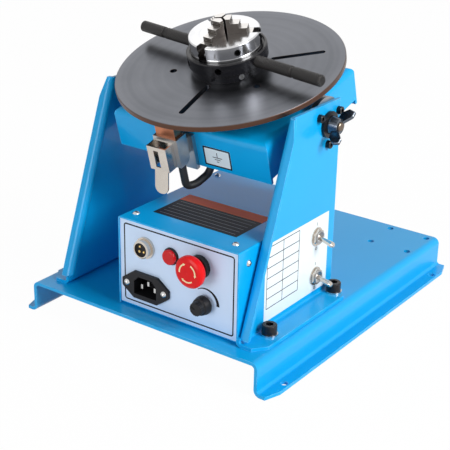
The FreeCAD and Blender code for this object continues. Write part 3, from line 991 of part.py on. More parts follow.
def inlet_outline(width, height, y):
    """The six-sided outline of the power inlet's flange."""
    half, tip = height / 2.0, width / 2.0
    flat = INLET_BODY_W / 2.0 - 1.0
    points = [(-tip, -3.6), (-flat, -half), (flat, -half), (tip, -3.6), (tip, 3.6), (flat, half), (-flat, half),
              (-tip, 3.6)]
    return [V(INLET_AT.x + x, y, INLET_AT.z + z) for x, z in points]


def inlet_housing():
    """The black moulded power inlet with its flange, recess and rear body."""
    flange = prism(inlet_outline(INLET_FLANGE_W, INLET_FLANGE_H, CASE_FRONT), FORWARD * INLET_FLANGE_T)
    flange = flange.makeFillet(2.0, [e for e in flange.Edges
                                     if abs(e.Vertexes[0].Point.y - e.Vertexes[-1].Point.y) > 1.0])
    hw, hh = INLET_BODY_W / 2.0, INLET_BODY_H / 2.0
    body = block(INLET_AT.x - hw, INLET_AT.x + hw, CASE_FRONT - 0.01, CASE_FRONT + INLET_RECESS_D + 3.0,
                 INLET_AT.z - hh, INLET_AT.z + hh)
    rw, rh, y = INLET_RECESS_W / 2.0, INLET_RECESS_H / 2.0, CASE_FRONT - INLET_FLANGE_T - 1
    corner = 5.0
    recess = prism([V(INLET_AT.x + a, y, INLET_AT.z + b) for a, b in (
        (-rw, -rh), (rw, -rh), (rw, rh - corner), (rw - corner, rh), (-rw + corner, rh), (-rw, rh - corner))],
        V(0, INLET_RECESS_D + 1, 0))
    cuts = [recess]
    cuts += [rod(INLET_AT + V(s * INLET_PITCH / 2.0, CASE_FRONT - 9, 0), Y_AXIS, PAN_SCREW_R + THREAD_GAP, 18)
             for s in (-1, 1)]
    cuts += [block(*_pin_box(dx, dz, THREAD_GAP)) for dx, dz in INLET_PINS]
    return cut_all(flange.fuse(body), cuts)


def _pin_box(dx, dz, grow):
    """The corners of one flat inlet pin, grown by a gap."""
    back = CASE_FRONT + INLET_RECESS_D + 9.0
    return (INLET_AT.x + dx - 1.0 - grow, INLET_AT.x + dx + 1.0 + grow, CASE_FRONT - INLET_FLANGE_T +
            INLET_PIN_SET_BACK, back, INLET_AT.z + dz - 2.0 - grow, INLET_AT.z + dz + 2.0 + grow)


def inlet_pins():
    """The three flat pins of the power inlet."""
    return [block(*_pin_box(dx, dz, 0.0)) for dx, dz in INLET_PINS]


def speed_control():
    """The potentiometer behind the panel, with its bush and nut."""
    behind = outward(SPEED_AT, -BOX_SHEET - 0.1)
    can = rod(behind + Y_AXIS * 9.0, FORWARD, 8.5, 9.0)
    bush = rod(behind, FORWARD, SPEED_BUSH_R, BOX_SHEET + 2.6)
    nut = hexagon(outward(SPEED_AT, 0.05), FORWARD, 12.0, 2.0)
    bore = rod(behind + Y_AXIS * 6.0, FORWARD, SPEED_SHAFT_R + RUNNING_GAP, 30.0)
    return can.fuse([bush, nut]).cut(bore).removeSplitter()


def speed_knob():
    """The black knob with its skirt, pointer groove and shaft."""
    lift = 2.9
    profile = [(0, -6.0), (SPEED_SHAFT_R, -6.0), (SPEED_SHAFT_R, lift), (KNOB_SKIRT_R, lift),
               (KNOB_SKIRT_R, lift + 2.0), (KNOB_SKIRT_R - 0.9, lift + 6.0), (KNOB_GRIP_R + 0.5, lift + 7.0),
               (KNOB_GRIP_R, KNOB_HEIGHT - 0.6), (KNOB_GRIP_R - 0.6, KNOB_HEIGHT), (0, KNOB_HEIGHT)]
    knob = turned(profile, outward(SPEED_AT), FORWARD)
    groove = block(-0.5, 0.5, -KNOB_HEIGHT - 1, -KNOB_HEIGHT + 0.5, 0, KNOB_GRIP_R + 1)
    groove.rotate(V(0, 0, 0), Y_AXIS, -KNOB_REST_TURN)
    groove.translate(V(SPEED_AT.x, CASE_FRONT, SPEED_AT.z))
    return knob.cut(groove)


def switch_bodies():
    """The toggle switches' bodies inside the box, each with its threaded bush."""
    bodies = []
    for z in SWITCH_LEVELS:
        inside = CASE_RIGHT - BOX_SHEET - 0.1
        body = block(inside - 18.0, inside, SWITCH_Y - 8.5, SWITCH_Y + 8.5, z - 13.5, z + 13.5)
        bush = rod(V(inside, SWITCH_Y, z), X_AXIS, SWITCH_BUSH_R, SWITCH_BUSH_END - inside)
        room = SWITCH_BALL_R + SWITCH_BALL_GAP
        well = rod(V(SWITCH_BALL_X - room, SWITCH_Y, z), X_AXIS, room, 2 * room)
        mouth = Part.makeCone(SWITCH_LEVER_R + 0.6, SWITCH_BUSH_R - 1.0, SWITCH_BUSH_END - SWITCH_BALL_X + 0.1,
                              V(SWITCH_BALL_X, SWITCH_Y, z), X_AXIS)
        bodies.append(cut_all(body.fuse(bush), [well, mouth]))
    return bodies


def switch_nuts():
    """The washer and hexagon nut of each toggle switch, on the side plate's outer face."""
    pieces = []
    for z in SWITCH_LEVELS:
        spot = V(PLATE_OUTER, SWITCH_Y, z)
        pieces.append(tube(spot, X_AXIS, 8.4, SWITCH_BUSH_R + THREAD_GAP, 1.0))
        nut = hexagon(spot + X_AXIS, X_AXIS, 13.5, 2.4)
        nut = nut.common(Part.makeSphere(8.6, spot - X_AXIS * 1.5))
        pieces.append(nut.cut(rod(spot, X_AXIS, SWITCH_BUSH_R + THREAD_GAP, 5)))
    return pieces


def switch_lever(z):
    """One bat-shaped toggle lever and its ball, tipped down."""
    reach = PLATE_OUTER + SWITCH_LEVER_OUT - SWITCH_BALL_X
    neck = SWITCH_LEVER_R - 0.5
    neck_start = math.sqrt(SWITCH_BALL_R ** 2 - neck ** 2)
    outline = [(neck, neck_start), (SWITCH_LEVER_R + 0.5, reach - 3.0), (SWITCH_LEVER_R + 0.2, reach - 1.0),
               (SWITCH_LEVER_R - 0.9, reach), (0, reach), (0, -SWITCH_BALL_R)]
    ball = Part.Arc(V(0, 0, -SWITCH_BALL_R), V(SWITCH_BALL_R, 0, 0), V(neck, 0, neck_start)).toShape()
    edges = Part.makePolygon([V(r, 0, h) for r, h in outline]).Edges + [ball]
    lever = Part.Face(Part.Wire(Part.__sortEdges__(edges))).revolve(V(0, 0, 0), Z_AXIS, 360)
    lever.rotate(V(0, 0, 0), Y_AXIS, 90.0 + SWITCH_THROW)
    lever.translate(V(SWITCH_BALL_X, SWITCH_Y, z))
    return lever


BOARD = (CASE_LEFT + BOARD_FROM_SIDE, CASE_LEFT + BOARD_FROM_SIDE + BOARD_WIDTH,
         CASE_REAR - BOARD_FROM_REAR - BOARD_DEPTH, CASE_REAR - BOARD_FROM_REAR)
BOARD_POSTS = [(x, y) for x in (BOARD[0] + 4.0, BOARD[1] - 4.0) for y in (BOARD[2] + 4.0, BOARD[3] - 4.0)]


def control_board():
    """The speed controller's circuit board with its tallest components."""
    top = BASE_HEIGHT + BOX_SHEET + BOARD_LEVEL
    board = block(BOARD[0], BOARD[1], BOARD[2], BOARD[3], top, top + BOARD_T)
    x, y, seat = BOARD[0], BOARD[2], top + BOARD_T
    parts = [block(x + 8, x + 24, y + 12, y + 34, seat, seat + 18.0),
             block(x + 34, x + 52, y + 12, y + 26, seat, seat + 12.0)]
    parts += [rod(V(x + 16 + 14 * k, y + 52, seat), Z_AXIS, 5.0, 20.0) for k in range(3)]
    cuts = [rod(V(px, py, top - 1), Z_AXIS, 1.6, 4) for px, py in BOARD_POSTS]
    return cut_all(board.fuse(parts), cuts)


def board_posts():
    """Hexagon posts under the circuit board."""
    floor = BASE_HEIGHT + BOX_SHEET
    return [hexagon(V(x, y, floor), Z_AXIS, 5.5, BOARD_LEVEL).fuse(
        rod(V(x, y, floor + BOARD_LEVEL), Z_AXIS, 1.5, BOARD_T + 2.0)).removeSplitter() for x, y in BOARD_POSTS]


def transformer():
    """The mains transformer: a laminated core, its winding and its mounting strap."""
    floor = BASE_HEIGHT + BOX_SHEET
    x0, y0 = CASE_RIGHT - 46.0, CASE_FRONT + 40.0
    core = block(x0, x0 + 22.0, y0, y0 + 46.0, floor + 2.0, floor + 40.0)
    winding = block(x0 - 7.0, x0 + 29.0, y0 + 9.0, y0 + 37.0, floor + 8.5, floor + 33.5)
    winding = winding.makeFillet(4.0, edges_where(winding, lambda p: p.z > floor + 33.49 or p.z < floor + 8.51))
    strap = block(x0 + 2.0, x0 + 20.0, y0 - 8.0, y0 + 54.0, floor, floor + 2.0)
    return core.fuse([winding, strap]).removeSplitter()


# =====================================================================  write every piece

def export(name, pieces):
    """Write one node's solid, or its group of separate solids, as a STEP file."""
    solids = pieces if isinstance(pieces, list) else [pieces]
    shape = solids[0] if len(solids) == 1 else Part.makeCompound(solids)
    shape.exportStep(os.path.join("parts", name + ".step"))


def both_sides(piece):
    """A right-hand piece and its mirror image on the left."""
    return [piece, mirrored_x(piece)]


def build():
    """Every node of the positioner, by name."""
    right_nut = on_head(wing_nut())
    bush, bolt = on_head(pivot_bush()), on_head(pivot_bolt())
    bush_level = pivot_bush()
    bush_level.translate(PIVOT)
    screws_level = pivot_bush_screws()
    for screw in screws_level:
        screw.translate(PIVOT)
    nodes = {
        "base_plate": base_plate(),
        "right_side_plate": side_plate(True),
        "left_side_plate": mirrored_x(side_plate(False)),
        "foot_screws": foot_screws(),
        "foot_washers": foot_washers(),
        "foot_nuts": foot_nuts(),
        "pivot_bushes": both_sides(bush_level),
        "pivot_bush_screws": screws_level + [mirrored_x(s) for s in screws_level],
        "control_chassis": control_chassis(),
        "control_cover": control_cover(),
        "panel_screws": panel_screws(),
        "foot_socket_shell": foot_socket_shell(),
        "foot_socket_insert": foot_socket_insert(),
        "foot_socket_pins": foot_socket_pins(),
        "lamp_bezel": lamp_bezel(),
        "lamp_lens": lamp_lens(),
        "estop_collar": estop_collar(),
        "estop_stem": estop_stem(),
        "estop_head": estop_head(),
        "estop_contact_block": estop_contact_block(),
        "inlet_housing": inlet_housing(),
        "inlet_pins": inlet_pins(),
        "speed_control": speed_control(),
        "speed_knob": speed_knob(),
        "switch_bodies": switch_bodies(),
        "switch_nuts": switch_nuts(),
        "switch_lever_upper": switch_lever(SWITCH_LEVELS[0]),
        "switch_lever_lower": switch_lever(SWITCH_LEVELS[1]),
        "control_board": control_board(),
        "board_posts": board_posts(),
        "transformer": transformer(),
        "pivot_bolts": both_sides(bolt),
        "pivot_washers": both_sides(on_head(pivot_washer())),
        "lock_washers": both_sides(on_head(lock_washer())),
        "wing_nut_right": right_nut,
        "wing_nut_left": mirrored_x(right_nut),
    }
    head = {
        "tilt_frame": tilt_frame(),
        "bearing_housing": bearing_housing(),
        "frame_screws": frame_screws(),
        "spindle_bearings": spindle_bearings(),
        "gearbox": gearbox(),
        "motor": motor(),
        "earth_bracket": earth_bracket(),
        "brush_holder": brush_holder(),
        "brush_clip": brush_clip(),
        "brush_spring": brush_spring(),
        "copper_brush": copper_brush(),
        "earth_lead": earth_lead(),
        "spindle": spindle(),
        "gearbox_shaft": gearbox_shaft(),
        "turntable_disc": turntable_disc(),
        "turntable_screws": turntable_screws(),
        "chuck_backplate": chuck_backplate(),
        "backplate_set_screws": backplate_set_screws(),
        "chuck_body": chuck_body(),
        "scroll_ring": scroll_ring(),
        "chuck_handles": [chuck_handle(HANDLE_PHASE), chuck_handle(HANDLE_PHASE + 180.0)],
    }
    for number, angle in enumerate(JAW_ANGLES, 1):
        head["jaw_%d" % number] = jaw(angle)
    for name, pieces in head.items():
        nodes[name] = [on_head(p) for p in pieces] if isinstance(pieces, list) else on_head(pieces)
    return nodes


os.makedirs("parts", exist_ok=True)
for node_name, node_pieces in build().items():
    export(node_name, node_pieces)
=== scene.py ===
"""Looks of a bench welding positioner: finishes for every solid, printed sheets, marks and soft studio light.

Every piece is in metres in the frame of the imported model: +X to the operator's right, +Y to the back, +Z up.
"""
import json
import logging
import math
from dataclasses import dataclass, field
from enum import Enum
from typing import Optional

import bmesh
import bpy
from mathutils import Euler, Matrix, Vector

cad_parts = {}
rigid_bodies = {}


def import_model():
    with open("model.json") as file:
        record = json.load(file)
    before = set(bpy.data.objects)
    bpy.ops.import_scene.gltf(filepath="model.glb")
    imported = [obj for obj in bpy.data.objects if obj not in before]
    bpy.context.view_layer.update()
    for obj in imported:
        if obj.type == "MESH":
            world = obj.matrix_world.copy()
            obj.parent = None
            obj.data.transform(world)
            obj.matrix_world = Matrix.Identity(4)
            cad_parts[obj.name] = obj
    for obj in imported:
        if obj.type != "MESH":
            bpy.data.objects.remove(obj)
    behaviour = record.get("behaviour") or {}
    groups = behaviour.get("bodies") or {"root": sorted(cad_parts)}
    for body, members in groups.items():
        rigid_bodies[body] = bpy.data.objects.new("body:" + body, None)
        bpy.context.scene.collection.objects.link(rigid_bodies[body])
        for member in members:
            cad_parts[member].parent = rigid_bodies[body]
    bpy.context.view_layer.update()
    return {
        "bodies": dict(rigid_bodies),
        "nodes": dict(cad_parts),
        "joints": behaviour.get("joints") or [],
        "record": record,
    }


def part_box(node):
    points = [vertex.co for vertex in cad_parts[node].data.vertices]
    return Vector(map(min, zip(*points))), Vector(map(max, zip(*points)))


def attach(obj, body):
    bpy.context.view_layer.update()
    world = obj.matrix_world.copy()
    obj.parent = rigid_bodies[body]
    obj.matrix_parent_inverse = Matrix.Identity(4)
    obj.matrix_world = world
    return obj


LOG = logging.getLogger("positioner")
MM = 0.001
ACROSS = Vector((1.0, 0.0, 0.0))
BACK = Vector((0.0, 1.0, 0.0))
UP = Vector((0.0, 0.0, 1.0))
BAR_HEADING = math.radians(-7.7)

Tree = bpy.types.NodeTree
Socket = bpy.types.NodeSocket
BMesh = bmesh.types.BMesh
Triple = tuple[float, float, float]


# ---------------------------------------------------------------------------- shared shader groups

class Pattern(Enum):
    """How the surface of a finish was worked."""

    PLAIN = "plain"
    TURNED = "turned"
    BRUSHED = "brushed"
    KNURLED = "knurled"
    CAST = "cast"


@dataclass(frozen=True)
class Place:
    """Where a pattern's own axis lies: a centre in the row frame and a turn that lays the axis on Z."""

    centre: Triple = (0.0, 0.0, 0.0)
    turn: Triple = (0.0, 0.0, 0.0)


def new_group(name: str, inputs: dict[str, float | None], outputs: dict[str, str]) -> Tree:
    """Make an empty shader group with named sockets.

    Args:
        name: The group's name.
        inputs: Socket names with their defaults; None makes a vector socket.
        outputs: Socket names with their kinds, "Float" or "Color".

    Returns:
        The new node tree, with its input and output nodes named "in" and "out".
    """
    tree = bpy.data.node_groups.new(name, "ShaderNodeTree")
    for label, default in inputs.items():
        kind = "NodeSocketVector" if default is None else "NodeSocketFloat"
        socket = tree.interface.new_socket(name=label, in_out="INPUT", socket_type=kind)
        if default is not None:
            socket.default_value = default
    for label, kind in outputs.items():
        tree.interface.new_socket(name=label, in_out="OUTPUT", socket_type="NodeSocket" + kind)
    tree.nodes.new("NodeGroupInput").name = "in"
    tree.nodes.new("NodeGroupOutput").name = "out"
    return tree


def math_node(tree: Tree, operation: str, first: Socket | float, second: Socket | float = 0.0,
              clamp: bool = False) -> Socket:
    """Add a math node whose inputs are sockets or numbers.

    Args:
        tree: The tree that gets the node.
        operation: The math operation.
        first: A socket or a number.
        second: A socket or a number.
        clamp: Whether the result is kept between 0 and 1.

    Returns:
        The node's output socket.
    """
    node = tree.nodes.new("ShaderNodeMath")
    node.operation = operation
    node.use_clamp = clamp
    for index, value in enumerate((first, second)):
        if isinstance(value, Socket):
            tree.links.new(value, node.inputs[index])
        else:
            node.inputs[index].default_value = value
    return node.outputs[0]


def past(tree: Tree, value: Socket, start: float, gain: float) -> Socket:
    """How far a value lies past a start, made steeper and kept between 0 and 1.

    Args:
        tree: The tree that gets the nodes.
        value: The value.
        start: Where the mask begins.
        gain: How steeply it rises.

    Returns:
        The mask's socket.
    """
    return math_node(tree, "MULTIPLY", math_node(tree, "SUBTRACT", value, start), gain, clamp=True)


def noise_node(tree: Tree, vector: Socket, scale: Socket | float, detail: float = 2.0, roughness: float = 0.5,
               dimensions: str = "3D") -> Socket:
    """Add a noise texture.

    Args:
        tree: The tree that gets the node.
        vector: The coordinates, or the single value of a 1D noise.
        scale: A socket or a number, in waves per metre.
        detail: Octaves of detail.
        roughness: Strength of the finer octaves.
        dimensions: "1D" or "3D".

    Returns:
        The noise value's socket.
    """
    node = tree.nodes.new("ShaderNodeTexNoise")
    node.noise_dimensions = dimensions
    tree.links.new(vector, node.inputs["W" if dimensions == "1D" else "Vector"])
    if isinstance(scale, Socket):
        tree.links.new(scale, node.inputs["Scale"])
    else:
        node.inputs["Scale"].default_value = scale
    node.inputs["Detail"].default_value = detail
    node.inputs["Roughness"].default_value = roughness
    return node.outputs[0]


def edge_wear_and_highlight_group(radius: float = 0.7 * MM, samples: int = 4, steepness: float = 9.0) -> Tree:
    """A mask of the outer edges, broken up by noise: rubbed bare edges on most finishes, and a painted
    highlight along the blue paint's edges.

    Args:
        radius: How far the mask reaches from an edge.
        samples: Rays that look for an edge.
        steepness: How quickly the mask rises towards an edge.

    Returns:
        A group with inputs Vector, Amount and Grain and the output Mask.
    """
    tree = new_group("edge wear", {"Vector": None, "Amount": 0.5, "Grain": 300.0}, {"Mask": "Float"})
    source, sink = tree.nodes["in"].outputs, tree.nodes["out"].inputs
    bevel = tree.nodes.new("ShaderNodeBevel")
    bevel.samples = samples
    bevel.inputs["Radius"].default_value = radius
    facing = tree.nodes.new("ShaderNodeNewGeometry")
    dot = tree.nodes.new("ShaderNodeVectorMath")
    dot.operation = "DOT_PRODUCT"
    tree.links.new(bevel.outputs[0], dot.inputs[0])
    tree.links.new(facing.outputs["Normal"], dot.inputs[1])
    turned_away = math_node(tree, "SUBTRACT", 1.0, dot.outputs["Value"])
    edge = math_node(tree, "MULTIPLY", turned_away, steepness, clamp=True)
    broken = past(tree, noise_node(tree, source["Vector"], source["Grain"], detail=3.0), start=0.42, gain=6.0)
    # Real rubbing on most finishes; on the blue paint this mask is a painted edge highlight.
    worn = math_node(tree, "MULTIPLY", edge, broken)
    mask = math_node(tree, "MULTIPLY", worn, source["Amount"], clamp=True)
    tree.links.new(mask, sink["Mask"])
    return tree


def smudge_group() -> Tree:
    """Soft uneven patches, as oil, handling and thin spots leave.

    Returns:
        A group with inputs Vector and Scale and the output Patches.
    """
    tree = new_group("smudges", {"Vector": None, "Scale": 25.0}, {"Patches": "Float"})
    source, sink = tree.nodes["in"].outputs, tree.nodes["out"].inputs
    patches = noise_node(tree, source["Vector"], source["Scale"], detail=4.0, roughness=0.6)
    tree.links.new(past(tree, patches, start=0.3, gain=2.2), sink["Patches"])
    return tree


def turning_group(ring_waves: float = 1.0, band_waves: float = 0.06) -> Tree:
    """Fine rings round the Z axis of the incoming coordinates, as a lathe leaves.

    Args:
        ring_waves: Waves of the fine rings in one pitch.
        band_waves: Waves of the wide bands in one pitch.

    Returns:
        A group with inputs Vector and Pitch and the outputs Rings, Bands and Radius.
    """
    tree = new_group("turning marks", {"Vector": None, "Pitch": 0.3 * MM},
                     {"Rings": "Float", "Bands": "Float", "Radius": "Float"})
    source, sink = tree.nodes["in"].outputs, tree.nodes["out"].inputs
    split = tree.nodes.new("ShaderNodeSeparateXYZ")
    tree.links.new(source["Vector"], split.inputs[0])
    square = math_node(tree, "ADD", math_node(tree, "MULTIPLY", split.outputs["X"], split.outputs["X"]),
                       math_node(tree, "MULTIPLY", split.outputs["Y"], split.outputs["Y"]))
    radius = math_node(tree, "SQRT", square)
    along = math_node(tree, "ADD", radius, split.outputs["Z"])
    turns = math_node(tree, "DIVIDE", along, source["Pitch"])
    rings = noise_node(tree, turns, ring_waves, detail=3.0, roughness=0.6, dimensions="1D")
    tree.links.new(rings, sink["Rings"])
    tree.links.new(noise_node(tree, turns, band_waves, dimensions="1D"), sink["Bands"])
    tree.links.new(radius, sink["Radius"])
    return tree


def knurl_group() -> Tree:
    """A diamond knurl on a bar that lies along Z of the incoming coordinates.

    Returns:
        A group with inputs Vector, Teeth and Pitch and the output Height.
    """
    tree = new_group("knurl", {"Vector": None, "Teeth": 30.0, "Pitch": 1.0 * MM}, {"Height": "Float"})
    source, sink = tree.nodes["in"].outputs, tree.nodes["out"].inputs
    split = tree.nodes.new("ShaderNodeSeparateXYZ")
    tree.links.new(source["Vector"], split.inputs[0])
    angle = math_node(tree, "ARCTAN2", split.outputs["Y"], split.outputs["X"])
    around = math_node(tree, "MULTIPLY", angle, source["Teeth"])
    turns = math_node(tree, "DIVIDE", split.outputs["Z"], source["Pitch"])
    along = math_node(tree, "MULTIPLY", turns, math.tau)
    ridges = []
    for operation in ("ADD", "SUBTRACT"):
        wave = math_node(tree, "SINE", math_node(tree, operation, around, along))
        ridges.append(math_node(tree, "ABSOLUTE", wave))
    tree.links.new(math_node(tree, "MULTIPLY", ridges[0], ridges[1]), sink["Height"])
    return tree


class Effects:
    """The shader groups that several finishes use, each built once."""

    def __init__(self) -> None:
        """Build every group."""
        self.wear_and_highlight = edge_wear_and_highlight_group()
        self.smudges = smudge_group()
        self.turning = turning_group()
        self.knurl = knurl_group()


# ---------------------------------------------------------------------------- finishes

Colour = Triple
BAND_MIDDLE = 0.5
BAND_STRENGTH = 0.9
RIDGE_SHARPNESS = 3.0
VALLEY_PATCHES = 0.1
BRUSH_STRETCH = (1.0, 1.0, 0.02)


@dataclass(frozen=True)
class Finish:
    """One surface finish: its colours, gloss, working marks and edge mask, which paints rubbed bare edges on
    most finishes and a painted highlight along the blue paint's edges.
    """

    name: str
    colour: Colour
    patch_colour: Colour
    # Edge colour: rubbed bare edges on most finishes, a painted highlight on the blue paint.
    wear_and_highlight_colour: Colour
    roughness: float
    patch_roughness: float
    metallic: float = 0.0
    wear_metallic: float = 0.0
    coat: float = 0.0
    coat_roughness: float = 0.08
    specular: float = 0.5
    wear_and_highlight: float = 0.4
    wear_and_highlight_grain: float = 300.0
    patch_scale: float = 25.0
    patch_share: float = 0.5
    bump: float = 0.1
    bump_depth: float = 0.02 * MM
    bump_scale: float = 900.0
    pattern: Pattern = Pattern.PLAIN
    pitch: float = 0.3 * MM
    teeth: float = 30.0
    place: Place = field(default_factory=Place)
    rim_radius: float = 0.0
    rim_colour: Colour = (0.0, 0.0, 0.0)
    # Painted highlight colour for the faces that look along the finish's axis.
    lit_end_colour: Optional[Colour] = None

    def material(self, effects: Effects) -> bpy.types.Material:
        """Build the finish's material.

        Args:
            effects: The shared shader groups.

        Returns:
            The new material.
        """
        made = bpy.data.materials.new(self.name)
        made.use_nodes = True
        made.diffuse_color = (*self.colour, 1.0)
        tree = made.node_tree
        shader = tree.nodes["Principled BSDF"]
        shader.inputs["Metallic"].default_value = self.metallic
        shader.inputs["Coat Weight"].default_value = self.coat
        shader.inputs["Coat Roughness"].default_value = self.coat_roughness
        shader.inputs["Specular IOR Level"].default_value = self.specular
        vector = self._coordinates(tree)
        smudges = self._group(tree, effects.smudges, vector, {"Scale": self.patch_scale})
        wear_and_highlight = self._group(tree, effects.wear_and_highlight, vector, {"Amount": self.wear_and_highlight, "Grain": self.wear_and_highlight_grain})
        share = math_node(tree, "MULTIPLY", smudges["Patches"], self.patch_share)
        height, share = self._pattern(tree, effects, vector, share)
        colour = self._mix(tree, share, self.colour, self.patch_colour)
        if self.rim_radius:
            colour = self._mix(tree, self._rim(tree, effects, vector), colour, self.rim_colour)
        # Faces that look along the axis get a painted highlight.
        if self.lit_end_colour:
            colour = self._mix(tree, self._lit_ends(tree), colour, self.lit_end_colour)
        # Edge colour over the mask: rubbed edges on most finishes, a painted highlight along the blue paint's
        # edges.
        colour = self._mix(tree, wear_and_highlight["Mask"], colour, self.wear_and_highlight_colour)
        tree.links.new(colour, shader.inputs["Base Color"])
        rough = self._between(tree, share, self.roughness, self.patch_roughness)
        tree.links.new(rough, shader.inputs["Roughness"])
        if self.wear_metallic != self.metallic:
            metal = self._between(tree, wear_and_highlight["Mask"], self.metallic, self.wear_metallic)
            tree.links.new(metal, shader.inputs["Metallic"])
        bump = tree.nodes.new("ShaderNodeBump")
        bump.inputs["Strength"].default_value = self.bump
        bump.inputs["Distance"].default_value = self.bump_depth
        tree.links.new(height, bump.inputs["Height"])
        tree.links.new(bump.outputs[0], shader.inputs["Normal"])
        return made

    def _between(self, tree: Tree, share: Socket, low: float, high: float) -> Socket:
        """A value that runs from one number to another by a share.

        Args:
            tree: The material's tree.
            share: The share, from 0 to 1.
            low: The value at 0.
            high: The value at 1.

        Returns:
            The value's socket.
        """
        node = tree.nodes.new("ShaderNodeMapRange")
        node.inputs["To Min"].default_value = low
        node.inputs["To Max"].default_value = high
        tree.links.new(share, node.inputs["Value"])
        return node.outputs[0]

    def _rim(self, tree: Tree, effects: Effects, vector: Socket) -> Socket:
        """A mask of all that lies outside the rim's radius about the finish's axis."""
        radius = self._group(tree, effects.turning, vector, {"Pitch": self.pitch})["Radius"]
        return math_node(tree, "GREATER_THAN", radius, self.rim_radius)

    def _lit_ends(self, tree: Tree) -> Socket:
        """A mask of the faces that look along the finish's axis, which get a painted highlight.

        Args:
            tree: The material's tree.

        Returns:
            The mask's socket.
        """
        source = tree.nodes.new("ShaderNodeTexCoord")
        dot = tree.nodes.new("ShaderNodeVectorMath")
        dot.operation = "DOT_PRODUCT"
        tree.links.new(source.outputs["Normal"], dot.inputs[0])
        dot.inputs[1].default_value = Euler(self.place.turn).to_matrix() @ UP
        return past(tree, dot.outputs["Value"], start=0.8, gain=8.0)

    def _coordinates(self, tree: Tree) -> Socket:
        """Object coordinates, centred and turned to the finish's place.

        Args:
            tree: The material's tree.

        Returns:
            The coordinates' socket.
        """
        source = tree.nodes.new("ShaderNodeTexCoord")
        shift = tree.nodes.new("ShaderNodeMapping")
        shift.vector_type = "TEXTURE"
        shift.inputs["Location"].default_value = self.place.centre
        shift.inputs["Rotation"].default_value = self.place.turn
        tree.links.new(source.outputs["Object"], shift.inputs["Vector"])
        return shift.outputs[0]

    def _group(self, tree: Tree, group: Tree, vector: Socket,
               values: dict[str, float]) -> bpy.types.NodeOutputs:
        """Place a shared group and feed it the coordinates and its own values.

        Args:
            tree: The material's tree.
            group: The shared group.
            vector: The coordinates.
            values: The group's values by socket name.

        Returns:
            The group's outputs.
        """
        node = tree.nodes.new("ShaderNodeGroup")
        node.node_tree = group
        tree.links.new(vector, node.inputs["Vector"])
        for label, value in values.items():
            node.inputs[label].default_value = value
        return node.outputs

    def _mix(self, tree: Tree, factor: Socket, first: Socket | Colour, second: Socket | Colour) -> Socket:
        """Mix two colours, each a socket or a colour.

        Args:
            tree: The material's tree.
            factor: The second colour's share.
            first: The first colour.
            second: The second colour.

        Returns:
            The mixed colour's socket.
        """
        node = tree.nodes.new("ShaderNodeMix")
        node.data_type = "RGBA"
        tree.links.new(factor, node.inputs["Factor"])
        for label, value in (("A", first), ("B", second)):
            socket = next(s for s in node.inputs if s.name == label and s.type == "RGBA")
            if isinstance(value, Socket):
                tree.links.new(value, socket)
            else:
                socket.default_value = (*value, 1.0)
        return next(s for s in node.outputs if s.type == "RGBA")

    def _pattern(self, tree: Tree, effects: Effects, vector: Socket, share: Socket) -> tuple[Socket, Socket]:
        """Lay the working marks over the patches.

        Args:
            tree: The material's tree.
            effects: The shared shader groups.
            vector: The coordinates.
            share: The patch mask.

        Returns:
            The height of the marks, and the patch mask with the marks in it.
        """
        if self.pattern is Pattern.TURNED:
            rings = self._group(tree, effects.turning, vector, {"Pitch": self.pitch})
            banded = math_node(tree, "SUBTRACT", rings["Bands"], BAND_MIDDLE)
            banded = math_node(tree, "MULTIPLY", banded, BAND_STRENGTH)
            return rings["Rings"], math_node(tree, "ADD", share, banded, clamp=True)
        if self.pattern is Pattern.KNURLED:
            knurl = self._group(tree, effects.knurl, vector, {"Teeth": self.teeth, "Pitch": self.pitch})
            ridges = math_node(tree, "POWER", knurl["Height"], RIDGE_SHARPNESS)
            valleys = math_node(tree, "MULTIPLY", share, VALLEY_PATCHES)
            return knurl["Height"], math_node(tree, "ADD", valleys, ridges, clamp=True)
        if self.pattern is Pattern.BRUSHED:
            stretch = tree.nodes.new("ShaderNodeMapping")
            stretch.inputs["Scale"].default_value = BRUSH_STRETCH
            tree.links.new(vector, stretch.inputs["Vector"])
            return noise_node(tree, stretch.outputs[0], 1.0 / self.pitch, detail=3.0, roughness=0.6), share
        detail = 5.0 if self.pattern is Pattern.CAST else 2.0
        return noise_node(tree, vector, self.bump_scale, detail, roughness=0.55), share


METAL = {"metallic": 1.0, "wear_metallic": 1.0}
PRINTED_SHEET = {"coat": 0.2, "wear_and_highlight": 0.1, "patch_scale": 14.0, "patch_share": 0.35, "bump": 0.08,
                 "bump_scale": 700.0}
INKED = {"wear_and_highlight": 0.1, "bump": 0.05}
# The light third colour is a painted highlight along the blue paint's folded edges.
BLUE_PAINT = Finish(
    "blue powder coat", (0.001, 0.36, 0.74), (0.001, 0.325, 0.69), (0.2, 0.62, 0.95), 0.32, 0.38, coat=0.25,
    coat_roughness=0.06, specular=0.22, wear_and_highlight=0.85, wear_and_highlight_grain=90.0, patch_scale=9.0, bump=0.25,
    bump_depth=0.04 * MM, bump_scale=420.0)


